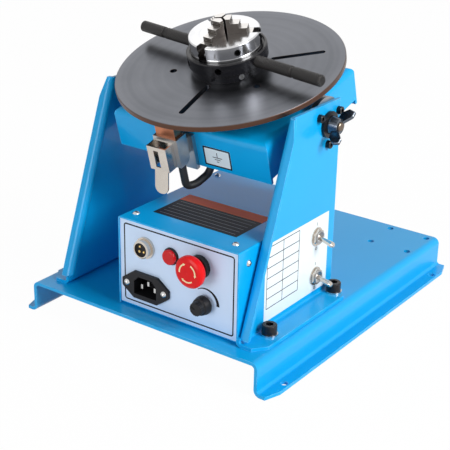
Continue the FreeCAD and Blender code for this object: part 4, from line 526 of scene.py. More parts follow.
def turned_finishes(spin: Place, bar: Place) -> dict[str, Finish]:
    """The table's, the chuck's and the other turned or ground steels.

    Args:
        spin: The turntable's axis.
        bar: The chuck bars' axis.

    Returns:
        The finishes by their short names.
    """
    return {
        "table": Finish(
            "blackened turned steel", (0.088, 0.093, 0.106), (0.16, 0.166, 0.186), (0.13, 0.07, 0.04),
            0.28, 0.4, metallic=1.0, wear_metallic=0.6, wear_and_highlight=0.7, patch_scale=16.0, bump=0.6,
            bump_depth=0.04 * MM, pattern=Pattern.TURNED, pitch=0.6 * MM, place=spin,
            rim_radius=100.2 * MM, rim_colour=(0.1, 0.052, 0.036)),
        "ring": Finish(
            "black oxide, turned", (0.006, 0.006, 0.008), (0.014, 0.013, 0.014), (0.1, 0.09, 0.085),
            0.24, 0.36, metallic=0.1, wear_metallic=0.9, specular=0.35, wear_and_highlight=0.5, bump=0.3,
            pattern=Pattern.TURNED, place=spin),
        "knurled": Finish(
            "black oxide, knurled", (0.003, 0.003, 0.004), (0.1, 0.092, 0.086), (0.12, 0.11, 0.1), 0.42, 0.5,
            metallic=0.2, wear_metallic=0.8, specular=0.25, bump=1.0, bump_depth=0.3 * MM,
            pattern=Pattern.KNURLED, pitch=4.4 * MM, teeth=7.0, place=bar),
        "bright": Finish(
            "ground bright steel", (0.62, 0.62, 0.63), (0.5, 0.5, 0.51), (0.8, 0.8, 0.8), 0.14, 0.26,
            **METAL, wear_and_highlight=0.3, patch_scale=40.0, bump=0.25, bump_depth=0.015 * MM, pattern=Pattern.TURNED,
            pitch=0.2 * MM, place=spin),
        # The jaws' dark colour is a painted dark reflection on their sides, and their ends get a painted
        # highlight.
        "jaw": Finish(
            "jaw steel with painted reflections", (0.085, 0.075, 0.068), (0.045, 0.04, 0.036), (0.6, 0.58, 0.55), 0.28, 0.42,
            **METAL, wear_and_highlight=0.5, patch_scale=90.0, bump=0.2, pattern=Pattern.BRUSHED, pitch=0.4 * MM,
            place=spin, lit_end_colour=(0.58, 0.56, 0.54)),
        "dull": Finish(
            "turned mild steel", (0.36, 0.36, 0.36), (0.28, 0.28, 0.29), (0.5, 0.5, 0.5), 0.3, 0.42, **METAL,
            bump=0.3, pattern=Pattern.TURNED, place=spin),
    }


def plated_finishes(spin: Place) -> dict[str, Finish]:
    """The plated, cast and plain metals of the fasteners, the brush and the fittings.

    Args:
        spin: The turntable's axis, along which the nickel-plated sheet is brushed.

    Returns:
        The finishes by their short names.
    """
    return {
        "zinc": Finish(
            "bright zinc", (0.58, 0.58, 0.57), (0.45, 0.46, 0.49), (0.75, 0.74, 0.72), 0.2, 0.34, **METAL,
            wear_and_highlight=0.3, patch_scale=160.0, bump=0.15, bump_scale=1600.0),
        "dark zinc": Finish(
            "dark zinc", (0.13, 0.15, 0.18), (0.05, 0.06, 0.085), (0.6, 0.6, 0.6), 0.2, 0.32, **METAL,
            wear_and_highlight=0.6, patch_scale=120.0, bump=0.15, bump_scale=1600.0),
        "black screw": Finish(
            "black oxide screw", (0.005, 0.005, 0.007), (0.012, 0.012, 0.013), (0.1, 0.1, 0.1), 0.26, 0.36,
            metallic=0.2, wear_metallic=0.8, specular=0.4, wear_and_highlight=0.5, patch_scale=200.0, bump_scale=2500.0),
        "bolt end": Finish(
            "plain bolt steel", (0.2, 0.15, 0.11), (0.11, 0.085, 0.07), (0.5, 0.44, 0.38), 0.3, 0.42, **METAL,
            patch_scale=200.0, bump_scale=1600.0),
        "cast": Finish(
            "die-cast alloy", (0.5, 0.5, 0.5), (0.38, 0.39, 0.4), (0.66, 0.66, 0.66), 0.34, 0.5, **METAL,
            patch_scale=70.0, bump=0.4, bump_depth=0.06 * MM, bump_scale=700.0, pattern=Pattern.CAST),
        "nickel": Finish(
            "nickel-plated sheet", (0.62, 0.575, 0.52), (0.44, 0.4, 0.36), (0.76, 0.72, 0.66), 0.16, 0.3,
            **METAL, patch_scale=60.0, bump=0.2, pattern=Pattern.BRUSHED, pitch=0.5 * MM, place=spin),
        "copper": Finish(
            "worn copper", (0.5, 0.2, 0.11), (0.33, 0.13, 0.075), (0.75, 0.38, 0.25), 0.3, 0.46, **METAL,
            wear_and_highlight=0.7, patch_scale=90.0, bump=0.4, bump_depth=0.03 * MM, pattern=Pattern.BRUSHED,
            pitch=0.4 * MM),
        "brass": Finish(
            "plain brass", (0.65, 0.46, 0.18), (0.5, 0.34, 0.12), (0.8, 0.62, 0.32), 0.22, 0.36, **METAL,
            patch_scale=150.0),
    }


def moulded_finishes() -> dict[str, Finish]:
    """The plastics, the rubber and the circuit board.

    Returns:
        The finishes by their short names.
    """
    return {
        "black plastic": Finish(
            "black moulded plastic", (0.008, 0.008, 0.01), (0.013, 0.013, 0.015), (0.05, 0.05, 0.05),
            0.4, 0.5, specular=0.22, wear_and_highlight=0.35, patch_scale=60.0, bump=0.3, bump_depth=0.04 * MM,
            bump_scale=1800.0),
        "red plastic": Finish(
            "red moulded plastic", (0.68, 0.004, 0.006), (0.62, 0.004, 0.005), (0.85, 0.06, 0.05), 0.3, 0.4,
            coat=0.08, specular=0.16, wear_and_highlight=0.25, patch_scale=50.0),
        "lens": Finish(
            "red lens", (0.6, 0.003, 0.005), (0.42, 0.0, 0.003), (0.75, 0.06, 0.05), 0.2, 0.28, coat=0.25,
            specular=0.2, wear_and_highlight=0.2, patch_scale=220.0, bump_scale=700.0),
        "rubber": Finish(
            "black rubber", (0.012, 0.012, 0.013), (0.022, 0.021, 0.02), (0.05, 0.05, 0.05), 0.5, 0.62,
            wear_and_highlight=0.3, patch_scale=80.0, bump=0.4, bump_depth=0.05 * MM, bump_scale=1400.0),
        "board": Finish(
            "green circuit board", (0.01, 0.12, 0.04), (0.008, 0.09, 0.03), (0.05, 0.2, 0.1), 0.3, 0.4,
            coat=0.4),
    }


def printed_finishes() -> dict[str, Finish]:
    """The printed sheets and the inks.

    Returns:
        The finishes by their short names.
    """
    return {
        "sheet": Finish(
            "printed white sheet", (0.72, 0.79, 0.82), (0.69, 0.76, 0.8), (0.8, 0.83, 0.86), 0.3, 0.36,
            **PRINTED_SHEET),
        "panel": Finish(
            "printed pale blue sheet", (0.58, 0.72, 0.92), (0.55, 0.68, 0.9), (0.7, 0.8, 0.94), 0.3, 0.36,
            **PRINTED_SHEET),
        "ink": Finish(
            "black ink", (0.007, 0.007, 0.01), (0.011, 0.011, 0.014), (0.03, 0.03, 0.03), 0.45, 0.55,
            specular=0.15, **INKED),
        "orange": Finish(
            "orange print", (0.9, 0.13, 0.045), (0.84, 0.12, 0.04), (0.92, 0.2, 0.09), 0.45, 0.5,
            specular=0.15, **INKED),
        "grey ink": Finish(
            "grey ink", (0.16, 0.17, 0.19), (0.12, 0.13, 0.15), (0.3, 0.3, 0.3), 0.34, 0.4, **INKED),
        "cream ink": Finish(
            "cream ink", (0.86, 0.72, 0.42), (0.8, 0.66, 0.38), (0.9, 0.8, 0.6), 0.34, 0.4, **INKED),
    }


def finishes(spin: Place, bar: Place) -> dict[str, Finish]:
    """Every finish of the positioner by its short name.

    Args:
        spin: The turntable's axis.
        bar: The chuck bars' axis.

    Returns:
        The finishes.
    """
    return {"blue": BLUE_PAINT, **turned_finishes(spin, bar), **plated_finishes(spin), **moulded_finishes(),
            **printed_finishes()}


# ---------------------------------------------------------------------------- meshes and repeated pieces

@dataclass(frozen=True)
class Face:
    """A flat face that marks are laid on, with its own right and up directions."""

    origin: Vector
    right: Vector
    up: Vector

    @property
    def out(self) -> Vector:
        """The direction that the face looks in."""
        return self.right.cross(self.up)

    def at(self, across: float, high: float, lift: float = 0.0) -> Vector:
        """A point on the face, or lifted off it.

        Args:
            across: Metres to the right of the origin.
            high: Metres up from the origin.
            lift: Metres out from the face.

        Returns:
            The point in the row frame.
        """
        return self.origin + self.right * across + self.up * high + self.out * lift


Outline = list[tuple[float, float]]


def rounded(left: float, low: float, right: float, high: float, radius: float, steps: int = 6) -> Outline:
    """A rectangle with round corners, anticlockwise.

    Args:
        left: Lowest across.
        low: Lowest height.
        right: Greatest across.
        high: Greatest height.
        radius: Corner radius.
        steps: Points in each corner.

    Returns:
        The outline's points.
    """
    points = []
    corners = ((right, high, 0), (left, high, 90), (left, low, 180), (right, low, 270))
    for x, z, start in corners:
        centre_x = x - math.copysign(radius, x - (left + right) / 2)
        centre_z = z - math.copysign(radius, z - (low + high) / 2)
        for step in range(steps + 1):
            angle = math.radians(start + 90 * step / steps)
            points.append((centre_x + radius * math.cos(angle), centre_z + radius * math.sin(angle)))
    return points


def arc_band(inner: float, outer: float, start: float, end: float, steps: int, taper: float = 0.0) -> Outline:
    """A band along an arc about the origin, wide at its start and narrower at its end by the taper.

    Args:
        inner: Inner radius at the start.
        outer: Outer radius.
        start: Start angle in degrees.
        end: End angle in degrees.
        steps: Steps along the arc.
        taper: Width lost by the end.

    Returns:
        The outline's points.
    """
    outside, inside = [], []
    for step in range(steps + 1):
        share = step / steps
        angle = math.radians(start + (end - start) * share)
        inside_radius = inner + taper * share
        outside.append((outer * math.cos(angle), outer * math.sin(angle)))
        inside.append((inside_radius * math.cos(angle), inside_radius * math.sin(angle)))
    return outside + inside[::-1]


def rectangle(left: float, low: float, right: float, high: float) -> Outline:
    """A rectangle with sharp corners, anticlockwise."""
    return [(left, low), (right, low), (right, high), (left, high)]


def circle(radius: float, steps: int) -> Outline:
    """A circle about the origin.

    Args:
        radius: The radius.
        steps: Points round it.

    Returns:
        The outline's points.
    """
    angles = [math.tau * k / steps for k in range(steps)]
    return [(radius * math.cos(angle), radius * math.sin(angle)) for angle in angles]


def moved(outline: Outline, across: float, high: float) -> Outline:
    """The same outline somewhere else on its face."""
    return [(x + across, z + high) for x, z in outline]


def add_slab(bm: BMesh, face: Face, outline: Outline, low: float, high: float) -> None:
    """Add a closed slab between two lifts to a mesh.

    Args:
        bm: The mesh that gets it.
        face: The face that it lies on.
        outline: Its outline.
        low: The lift of its underside.
        high: The lift of its top.
    """
    under = [bm.verts.new(face.at(x, z, low)) for x, z in outline]
    top = [bm.verts.new(face.at(x, z, high)) for x, z in outline]
    bm.faces.new(under[::-1])
    bm.faces.new(top)
    for index in range(len(outline)):
        following = (index + 1) % len(outline)
        bm.faces.new((under[index], under[following], top[following], top[index]))


def add_border(bm: BMesh, face: Face, outer: Outline, inner: Outline, low: float, high: float) -> None:
    """Add a closed ring between two outlines of as many points.

    Args:
        bm: The mesh that gets it.
        face: The face that it lies on.
        outer: The outer outline.
        inner: The inner outline.
        low: The lift of its underside.
        high: The lift of its top.
    """
    rings = [[bm.verts.new(face.at(x, z, lift)) for x, z in outline]
             for outline, lift in ((outer, low), (outer, high), (inner, high), (inner, low))]
    for index in range(len(outer)):
        following = (index + 1) % len(outer)
        for ring, other in zip(rings, rings[1:] + rings[:1]):
            bm.faces.new((ring[index], ring[following], other[following], other[index]))


def add_pierced_slab(bm: BMesh, face: Face, outline: Outline, holes: list[Outline], low: float,
                     high: float) -> None:
    """Add a closed slab with holes through it.

    Args:
        bm: The mesh that gets it.
        face: The face that it lies on.
        outline: Its outline.
        holes: The outlines of its holes.
        low: The lift of its underside.
        high: The lift of its top.
    """
    loops = [outline] + holes
    levels = []
    for lift in (low, high):
        rings = [[bm.verts.new(face.at(x, z, lift)) for x, z in loop] for loop in loops]
        edges = [bm.edges.new((ring[k - 1], ring[k])) for ring in rings for k in range(len(ring))]
        bmesh.ops.triangle_fill(bm, use_beauty=True, edges=edges)
        levels.append(rings)
    for under, top in zip(*levels):
        for k in range(len(under)):
            bm.faces.new((under[k - 1], under[k], top[k], top[k - 1]))


def soften(bm: BMesh, sharp: float = math.radians(30.0)) -> None:
    """Shade a mesh smoothly over its shallow edges and keep the steep ones sharp.

    Args:
        bm: The mesh, closed.
        sharp: The least angle between two faces that stays sharp.
    """
    bmesh.ops.recalc_face_normals(bm, faces=bm.faces)
    for face in bm.faces:
        face.smooth = True
    for edge in bm.edges:
        edge.smooth = edge.calc_face_angle(math.pi) < sharp


def finish_mesh(bm: BMesh, name: str) -> bpy.types.Object:
    """Turn a bmesh into an object with its normals outwards.

    Args:
        bm: The mesh; it is freed.
        name: The object's name.

    Returns:
        The new object, linked to the scene.
    """
    bmesh.ops.recalc_face_normals(bm, faces=bm.faces)
    mesh = bpy.data.meshes.new(name)
    bm.to_mesh(mesh)
    bm.free()
    made = bpy.data.objects.new(name, mesh)
    bpy.context.scene.collection.objects.link(made)
    return made


class RepeatTrees:
    """Geometry-node trees that repeat one small mesh in a row or round an axis."""

    def __init__(self) -> None:
        """Build both trees."""
        self.row = self._tree("row of pieces", {"Count": 4, "Step": (0.0, 0.0, 0.0)})
        self.ring = self._tree("ring of pieces",
                               {"Count": 3, "Centre": (0.0, 0.0, 0.0), "Axis": (0.0, 0.0, 1.0)})

    def _tree(self, name: str, inputs: dict[str, object]) -> Tree:
        """One tree: a line of points with the incoming mesh on each, shifted or turned by its index.

        Args:
            name: The tree's name.
            inputs: Its own inputs with their defaults; Step makes a row, and Centre and Axis make a ring.

        Returns:
            The new tree, which ends in Realize Instances and Set Material.
        """
        tree = bpy.data.node_groups.new(name, "GeometryNodeTree")
        face = tree.interface
        face.new_socket(name="Geometry", in_out="INPUT", socket_type="NodeSocketGeometry")
        for label, default in inputs.items():
            kind = "NodeSocketInt" if isinstance(default, int) else "NodeSocketVector"
            face.new_socket(name=label, in_out="INPUT", socket_type=kind).default_value = default
        face.new_socket(name="Material", in_out="INPUT", socket_type="NodeSocketMaterial")
        face.new_socket(name="Geometry", in_out="OUTPUT", socket_type="NodeSocketGeometry")
        source, sink = tree.nodes.new("NodeGroupInput"), tree.nodes.new("NodeGroupOutput")
        line = tree.nodes.new("GeometryNodeMeshLine")
        copies = tree.nodes.new("GeometryNodeInstanceOnPoints")
        real = tree.nodes.new("GeometryNodeRealizeInstances")
        paint = tree.nodes.new("GeometryNodeSetMaterial")
        link = tree.links.new
        link(source.outputs["Count"], line.inputs["Count"])
        link(source.outputs["Geometry"], copies.inputs["Instance"])
        if "Step" in inputs:
            link(source.outputs["Step"], line.inputs["Offset"])
            link(line.outputs[0], copies.inputs["Points"])
        else:
            line.inputs["Offset"].default_value = (0.0, 0.0, 0.0)
            self._turn(tree, source.outputs, line.outputs[0], copies.inputs)
        link(copies.outputs[0], real.inputs[0])
        link(real.outputs[0], paint.inputs["Geometry"])
        link(source.outputs["Material"], paint.inputs["Material"])
        link(paint.outputs[0], sink.inputs[0])
        return tree

    def _turn(self, tree: Tree, source: bpy.types.NodeOutputs, points: Socket,
              copies: bpy.types.NodeInputs) -> None:
        """Move and turn each copy about the ring's axis by its index's share of a whole turn.

        Args:
            tree: The ring's tree.
            source: The tree's inputs.
            points: The points, which all start in one place.
            copies: The sockets of the node that puts the mesh on the points.
        """
        link = tree.links.new
        index = tree.nodes.new("GeometryNodeInputIndex")
        share = math_node(tree, "DIVIDE", index.outputs[0], source["Count"])
        angle = math_node(tree, "MULTIPLY", share, math.tau)
        turned = tree.nodes.new("ShaderNodeVectorRotate")
        link(source["Centre"], turned.inputs["Center"])
        link(source["Axis"], turned.inputs["Axis"])
        link(angle, turned.inputs["Angle"])
        shift = tree.nodes.new("GeometryNodeSetPosition")
        link(points, shift.inputs["Geometry"])
        link(turned.outputs[0], shift.inputs["Position"])
        link(shift.outputs[0], copies["Points"])
        spin = tree.nodes.new("FunctionNodeAxisAngleToRotation")
        link(source["Axis"], spin.inputs["Axis"])
        link(angle, spin.inputs["Angle"])
        link(spin.outputs[0], copies["Rotation"])

    def apply(self, piece: bpy.types.Object, tree: Tree, values: dict[str, object],
              material: bpy.types.Material) -> None:
        """Repeat a piece's mesh by a tree and keep the result as its plain mesh.

        Args:
            piece: The object with one copy in its mesh.
            tree: The row or the ring.
            values: The tree's inputs by name.
            material: The material of every copy.
        """
        modifier = piece.modifiers.new("repeat", "NODES")
        modifier.node_group = tree
        wanted = {**values, "Material": material}
        for item in tree.interface.items_tree:
            if item.in_out == "INPUT" and item.name in wanted:
                modifier[item.identifier] = wanted[item.name]
        bpy.context.view_layer.update()
        evaluated = piece.evaluated_get(bpy.context.evaluated_depsgraph_get())
        mesh = bpy.data.meshes.new_from_object(evaluated)
        piece.modifiers.remove(modifier)
        piece.data = mesh


Repeat = tuple[Tree, dict[str, object]]


class Workshop:
    """What every sub-assembly needs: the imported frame, the materials and the repeating trees."""

    def __init__(self, frame: dict, materials: dict[str, bpy.types.Material]) -> None:
        """Keep the frame and the materials, and build the repeating trees.

        Args:
            materials: The materials by finish name.
        """
        self.frame = frame
        self.materials = materials
        self.trees = RepeatTrees()

    def dress(self, finish: str, *nodes: str) -> None:
        """Give CAD nodes a finish.

        Args:
            finish: The finish's name.
            nodes: The nodes.
        """
        for node in nodes:
            piece = self.frame["nodes"][node]
            piece.data.materials.clear()
            piece.data.materials.append(self.materials[finish])
            LOG.info("dressed %s in %s", node, finish)

    def in_row(self, count: int, step: Triple) -> Repeat:
        """Copies in a straight row, each one step on from the last."""
        return self.trees.row, {"Count": count, "Step": step}

    def in_ring(self, count: int, centre: Vector, axis: Vector) -> Repeat:
        """Copies at even turns round an axis."""
        return self.trees.ring, {"Count": count, "Centre": tuple(centre), "Axis": tuple(axis)}

    def keep(self, bm: BMesh, name: str, finish: str, slot: Optional[str], body: str,
             repeat: Optional[Repeat] = None) -> None:
        """Turn a mesh into a finished piece with its material and the body that it rides on.

        Args:
            bm: The mesh; it is freed.
            name: The piece's name.
            finish: The finish's name.
            slot: Not used; the record's material slot, or None for a print that none of them describes.
            body: The body's name.
            repeat: The tree that repeats the mesh, with its values, if it is repeated.
        """
        piece = finish_mesh(bm, name)
        if repeat:
            self.trees.apply(piece, *repeat, self.materials[finish])
        if not piece.data.materials:
            piece.data.materials.append(self.materials[finish])
        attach(piece, body)
        LOG.info("made %s on %s", name, body)


# ---------------------------------------------------------------------------- sub-assemblies

def joint_place(frame: dict, name: str) -> Vector:
    """The place of a joint in the row frame."""
    return next(Vector(j["pos_m"]) for j in frame["joints"] if j["name"] == name)


def joint_axis(frame: dict, name: str) -> Vector:
    """The axis of a joint in the row frame."""
    return next(Vector(j["axis"]) for j in frame["joints"] if j["name"] == name)


def lean(axis: Vector) -> float:
    """The turn about X that lays the upright direction on an axis."""
    return math.atan2(-axis.y, axis.z)


@dataclass
class Base:
    """The folded base channel and the two side plates with their screws and front flanges."""

    shop: Workshop
    slope: float = math.radians(20.0)
    sheet: float = 3.0 * MM
    bend: float = 2.0 * MM
    overlap: float = 0.3 * MM
    bend_steps: int = 8
    flange_reach: float = 10.1 * MM
    flange_foot: float = 6.0 * MM
    corner_reach: float = 6.0 * MM
    corner_drop: float = 17.0 * MM

    def build(self) -> None:
        """Dress the base, the plates and their fasteners, and fold the plates' front flanges."""
        shop = self.shop
        shop.dress("blue", "base_plate", "left_side_plate", "right_side_plate")
        shop.dress("black screw", "foot_screws", "pivot_bush_screws")
        shop.dress("zinc", "foot_washers", "foot_nuts")
        shop.dress("dull", "pivot_bushes")
        self._flange("right", 1.0)
        self._flange("left", -1.0)

    def _section(self) -> tuple[Outline, Outline]:
        """The flange's section, from the web round the bend to the flange's free edge.

        Returns:
            Its outer and its inner path, as distances across the plate and back from the flange's face.
        """
        fold = self.sheet + self.bend
        outside = [(0.0, fold + self.overlap)]
        inside = [(self.sheet, fold + self.overlap)]
        for step in range(self.bend_steps + 1):
            angle = math.pi * (1.0 + 0.5 * step / self.bend_steps)
            for path, radius in ((outside, fold), (inside, self.bend)):
                path.append((fold + radius * math.cos(angle), fold + radius * math.sin(angle)))
        for reach in (self.corner_reach, self.flange_reach):
            outside.append((reach, 0.0))
            inside.append((reach, self.sheet))
        return outside, inside

    def _flange(self, side: str, outwards: float) -> None:
        """Fold one plate's leaning front edge outwards, with a round bend and a cut top corner.

        Args:
            side: "left" or "right"; the left plate mirrors the right one.
            outwards: The sign of X on which the plate's outer face lies.
        """
        low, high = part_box("right_side_plate")
        bm = bmesh.new()
        rows = []
        for path in self._section():
            for bottom in (True, False):
                row = []
                for across, deep in path:
                    cut = max(0.0, across - self.corner_reach) / (self.flange_reach - self.corner_reach)
                    height = low.z + self.flange_foot if bottom else high.z - cut * self.corner_drop
                    along = (height - low.z + deep * math.sin(self.slope)) / math.cos(self.slope)
                    back = low.y + along * math.sin(self.slope) + deep * math.cos(self.slope)
                    row.append(bm.verts.new((outwards * (low.x + across), back, height)))
                rows.append(row)
        front_foot, front_top, rear_foot, rear_top = rows
        for first, second in ((front_foot, front_top), (rear_top, rear_foot), (front_top, rear_top),
                              (rear_foot, front_foot)):
            for k in range(len(first) - 1):
                bm.faces.new((first[k], first[k + 1], second[k + 1], second[k]))
        for end in (0, -1):
            bm.faces.new([row[end] for row in (front_foot, front_top, rear_top, rear_foot)])
        soften(bm)
        self.shop.keep(bm, side + "_plate_flange", "blue", "blue_paint", "base")


@dataclass
class Printed:
    """A sub-assembly that carries print: the workshop, and how thick its sheets and their ink are."""

    shop: Workshop
    sheet_thickness: float = 0.12 * MM
    ink: float = 0.05 * MM

    @property
    def inked(self) -> tuple[float, float]:
        """The lifts between which ink lies on a sheet."""
        return self.sheet_thickness, self.sheet_thickness + self.ink

    def lay(self, name: str, face: Face, outline: Outline, finish: str, body: str) -> None:
        """Lay one plain sheet on a face.

        Args:
            name: The sheet's name.
            face: The face that it lies on.
            outline: Its outline.
            finish: The finish's name.
            body: The body's name.
        """
        bm = bmesh.new()
        add_slab(bm, face, outline, 0.0, self.sheet_thickness)
        self.shop.keep(bm, name, finish, None, body)


@dataclass
class RatingSheet(Printed):
    """The white sheet on the right side plate: an empty ruled table and the switches' position marks."""

    low_y: float = -110.0 * MM
    high_y: float = -13.0 * MM
    low_z: float = 38.0 * MM
    high_z: float = 108.0 * MM
    corner: float = 0.8 * MM
    table_low_y: float = -107.0 * MM
    table_high_y: float = -59.5 * MM
    table_low_z: float = 49.5 * MM
    table_high_z: float = 105.0 * MM
    column_y: float = -83.5 * MM
    rows: int = 6
    line: float = 0.7 * MM
    mark_gap: float = 11.5 * MM
    mark_height: float = 3.0 * MM
    bar_width: float = 0.6 * MM
    bar_corner: float = 0.2 * MM
    ring_width: float = 0.5 * MM

    def build(self) -> None:
        """Make the sheet, its table and the marks."""
        face = Face(Vector((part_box("switch_nuts")[0].x, 0.0, 0.0)), BACK, UP)
        outline = rounded(self.low_y, self.low_z, self.high_y, self.high_z, self.corner)
        self.lay("rating_sheet", face, outline, "sheet", "base")
        self._table(face)
        self._marks(face)

    def _table(self, face: Face) -> None:
        """Rule the table: a row of level lines, and three uprights.

        Args:
            face: The sheet's face.
        """
        low, high, half = self.table_low_z, self.table_high_z, self.line / 2
        bm = bmesh.new()
        line = rectangle(self.table_low_y, low - half, self.table_high_y, low + half)
        add_slab(bm, face, line, *self.inked)
        self.shop.keep(bm, "rating_table_rows", "ink", None, "base",
                       self.shop.in_row(self.rows + 1, (0.0, 0.0, (high - low) / self.rows)))
        bm = bmesh.new()
        for y in (self.table_low_y, self.column_y, self.table_high_y):
            add_slab(bm, face, rectangle(y - half, low, y + half, high), *self.inked)
        self.shop.keep(bm, "rating_table_columns", "ink", None, "base")

    def _marks(self, face: Face) -> None:
        """Mark on and off at each switch: a bar above it and a ring below.

        Args:
            face: The sheet's face.
        """
        across, up = self.bar_width / 2, self.mark_height / 2
        bar = rounded(-across, -up, across, up, self.bar_corner, 2)
        outer, inner = circle(up, 24), circle(up - self.ring_width, 24)
        bm = bmesh.new()
        for name in ("upper_switch_throw", "lower_switch_throw"):
            place = joint_place(self.shop.frame, name)
            above, below = place.z + self.mark_gap, place.z - self.mark_gap
            add_slab(bm, face, moved(bar, place.y, above), *self.inked)
            add_border(bm, face, moved(outer, place.y, below), moved(inner, place.y, below), *self.inked)
        self.shop.keep(bm, "switch_marks", "ink", None, "base")


@dataclass
class ControlBox(Printed):
    """The control box with its printed panel, its top plate and everything on the panel; angles in degrees."""

    sheet_left: float = 0.6 * MM
    sheet_right: float = 1.6 * MM
    sheet_low: float = 2.0 * MM
    sheet_top: float = 1.4 * MM
    sheet_radius: float = 1.6 * MM
    border_inset: float = 3.1 * MM
    border_left: float = 4.8 * MM
    border_width: float = 1.25 * MM
    border_radius: float = 2.6 * MM
    label_left: float = 17.5 * MM
    label_right: float = 21.0 * MM
    label_front: float = 25.2 * MM
    label_depth: float = 51.0 * MM
    label_corner: float = 0.3 * MM
    band_depth: float = 14.0 * MM
    rule_count: int = 6
    rule_width: float = 0.5 * MM
    rule_margin: float = 4.0 * MM
    dial_radius: float = 14.0 * MM
    dial_width: float = 3.0 * MM
    dial_start: float = 3.0
    dial_end: float = 128.0
    dial_taper: float = 0.8
    knob_ribs: int = 18
    rib_start: float = 0.9 * MM
    rib_length: float = 6.4 * MM
    rib_height: float = 0.45 * MM
    rib_root: float = 0.3 * MM
    rib_foot: float = 1.0 * MM
    rib_crest: float = 0.6 * MM
    grip_radius: float = 5.55 * MM
    arrow_count: int = 3
    arrow_inner: float = 7.3 * MM
    arrow_outer: float = 8.5 * MM
    arrow_sweep: float = 66.0
    arrow_tip: float = 15.0
    arrow_bottom: float = -0.55 * MM
    arrow_top: float = -0.18 * MM
    inlet_width: float = 28.0 * MM
    inlet_height: float = 20.6 * MM
    inlet_corner: float = 0.5 * MM
    socket_hole: float = 8.1 * MM
    lamp_hole: float = 6.3 * MM
    stop_hole: float = 8.3 * MM
    speed_hole: float = 5.0 * MM
    pin_radius: float = 1.2 * MM
    pin_length: float = 8.0 * MM

    def build(self) -> None:
        """Dress the box's solids and make its printed and moulded pieces."""
        shop = self.shop
        shop.dress("blue", "control_chassis", "control_cover")
        shop.dress("zinc", "panel_screws", "speed_control", "inlet_pins")
        shop.dress("nickel", "foot_socket_shell", "switch_nuts", "switch_lever_upper", "switch_lever_lower")
        shop.dress("brass", "foot_socket_pins", "board_posts")
        shop.dress("black plastic", "foot_socket_insert", "lamp_bezel", "estop_collar", "estop_contact_block")
        shop.dress("black plastic", "inlet_housing", "speed_knob", "estop_stem")
        shop.dress("cast", "switch_bodies")
        shop.dress("lens", "lamp_lens")
        shop.dress("red plastic", "estop_head")
        shop.dress("board", "control_board")
        shop.dress("dull", "transformer")
        self._panel()
        self._top_plate()
        self._dial()
        self._stop_arrows()
        self._knob_ribs()
        self._third_pin()

    def _third_pin(self) -> None:
        """The foot socket's third contact, below and to the left of the other two."""
        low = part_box("foot_socket_pins")[0]
        face = Face(Vector((low.x + self.pin_radius, low.y, low.z + self.pin_radius)), ACROSS, UP)
        bm = bmesh.new()
        add_slab(bm, face, circle(self.pin_radius, 20), -self.pin_length, 0.0)
        self.shop.keep(bm, "foot_socket_third_pin", "brass", "brass", "base")

    def _front(self) -> Face:
        """The panel's face."""
        return Face(Vector((0.0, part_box("control_chassis")[0].y, 0.0)), ACROSS, UP)

    def _panel(self) -> None:
        """The pale printed sheet of the panel and its border line."""
        low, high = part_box("control_cover")
        left, right = low.x + self.sheet_left, high.x - self.sheet_right
        bottom, top = low.z + self.sheet_low, high.z - self.sheet_top
        bm = bmesh.new()
        add_pierced_slab(bm, self._front(), rounded(left, bottom, right, top, self.sheet_radius),
                         self._openings(), 0.0, self.sheet_thickness)
        self.shop.keep(bm, "panel_sheet", "panel", None, "base")
        width = self.border_width
        left, right = left + self.border_left, right - self.border_inset
        bottom, top = bottom + self.border_inset, top - self.border_inset
        outer = rounded(left, bottom, right, top, self.border_radius)
        inner = rounded(left + width, bottom + width, right - width, top - width, self.border_radius - width)
        bm = bmesh.new()
        add_border(bm, self._front(), outer, inner, *self.inked)
        self.shop.keep(bm, "panel_border", "ink", None, "base")

    def _openings(self) -> list[Outline]:
        """The holes that the panel's sheet leaves for the power inlet and for each round control.

        Returns:
            Their outlines.
        """
        low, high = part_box("inlet_housing")
        middle = (low + high) / 2
        across, up = self.inlet_width / 2, self.inlet_height / 2
        inlet = rounded(-across, -up, across, up, self.inlet_corner, 1)
        holes = [moved(inlet, middle.x, middle.z)]
        for node, radius in (("foot_socket_shell", self.socket_hole), ("lamp_bezel", self.lamp_hole),
                             ("estop_collar", self.stop_hole), ("speed_control", self.speed_hole)):
            low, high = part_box(node)
            holes.append(moved(circle(radius, 24), (low.x + high.x) / 2, (low.z + high.z) / 2))
        return holes

    def _top_plate(self) -> None:
        """The dark plate on the box's top with its orange band and fine rules."""
        low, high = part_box("control_cover")
        face = Face(Vector((0.0, 0.0, high.z)), ACROSS, BACK)
        left, right = low.x + self.label_left, high.x - self.label_right
        front = low.y + self.label_front
        back = front + self.label_depth
        seam = back - self.band_depth
        self.lay("top_plate", face, rounded(left, front, right, seam, self.label_corner, 2), "ink", "base")
        self.lay("top_band", face, rounded(left, seam, right, back, self.label_corner, 2), "orange", "base")
        margin = self.rule_margin
        first = front + margin
        pitch = (self.label_depth - self.band_depth - 2 * margin) / (self.rule_count - 1)
        rule = rectangle(left + margin, first, right - margin, first + self.rule_width)
        bm = bmesh.new()
        add_slab(bm, face, rule, *self.inked)
        self.shop.keep(bm, "top_plate_rules", "grey ink", None, "base",
                       self.shop.in_row(self.rule_count, (0.0, pitch, 0.0)))

    def _dial(self) -> None:
        """The widening arc beside the speed knob."""
        place = joint_place(self.shop.frame, "speed_turn")
        band = arc_band(self.dial_radius - self.dial_width, self.dial_radius, self.dial_start, self.dial_end,
                        30, self.dial_width * self.dial_taper)
        bm = bmesh.new()
        add_slab(bm, self._front(), moved(band, place.x, place.z), *self.inked)
        self.shop.keep(bm, "speed_dial", "ink", None, "base")

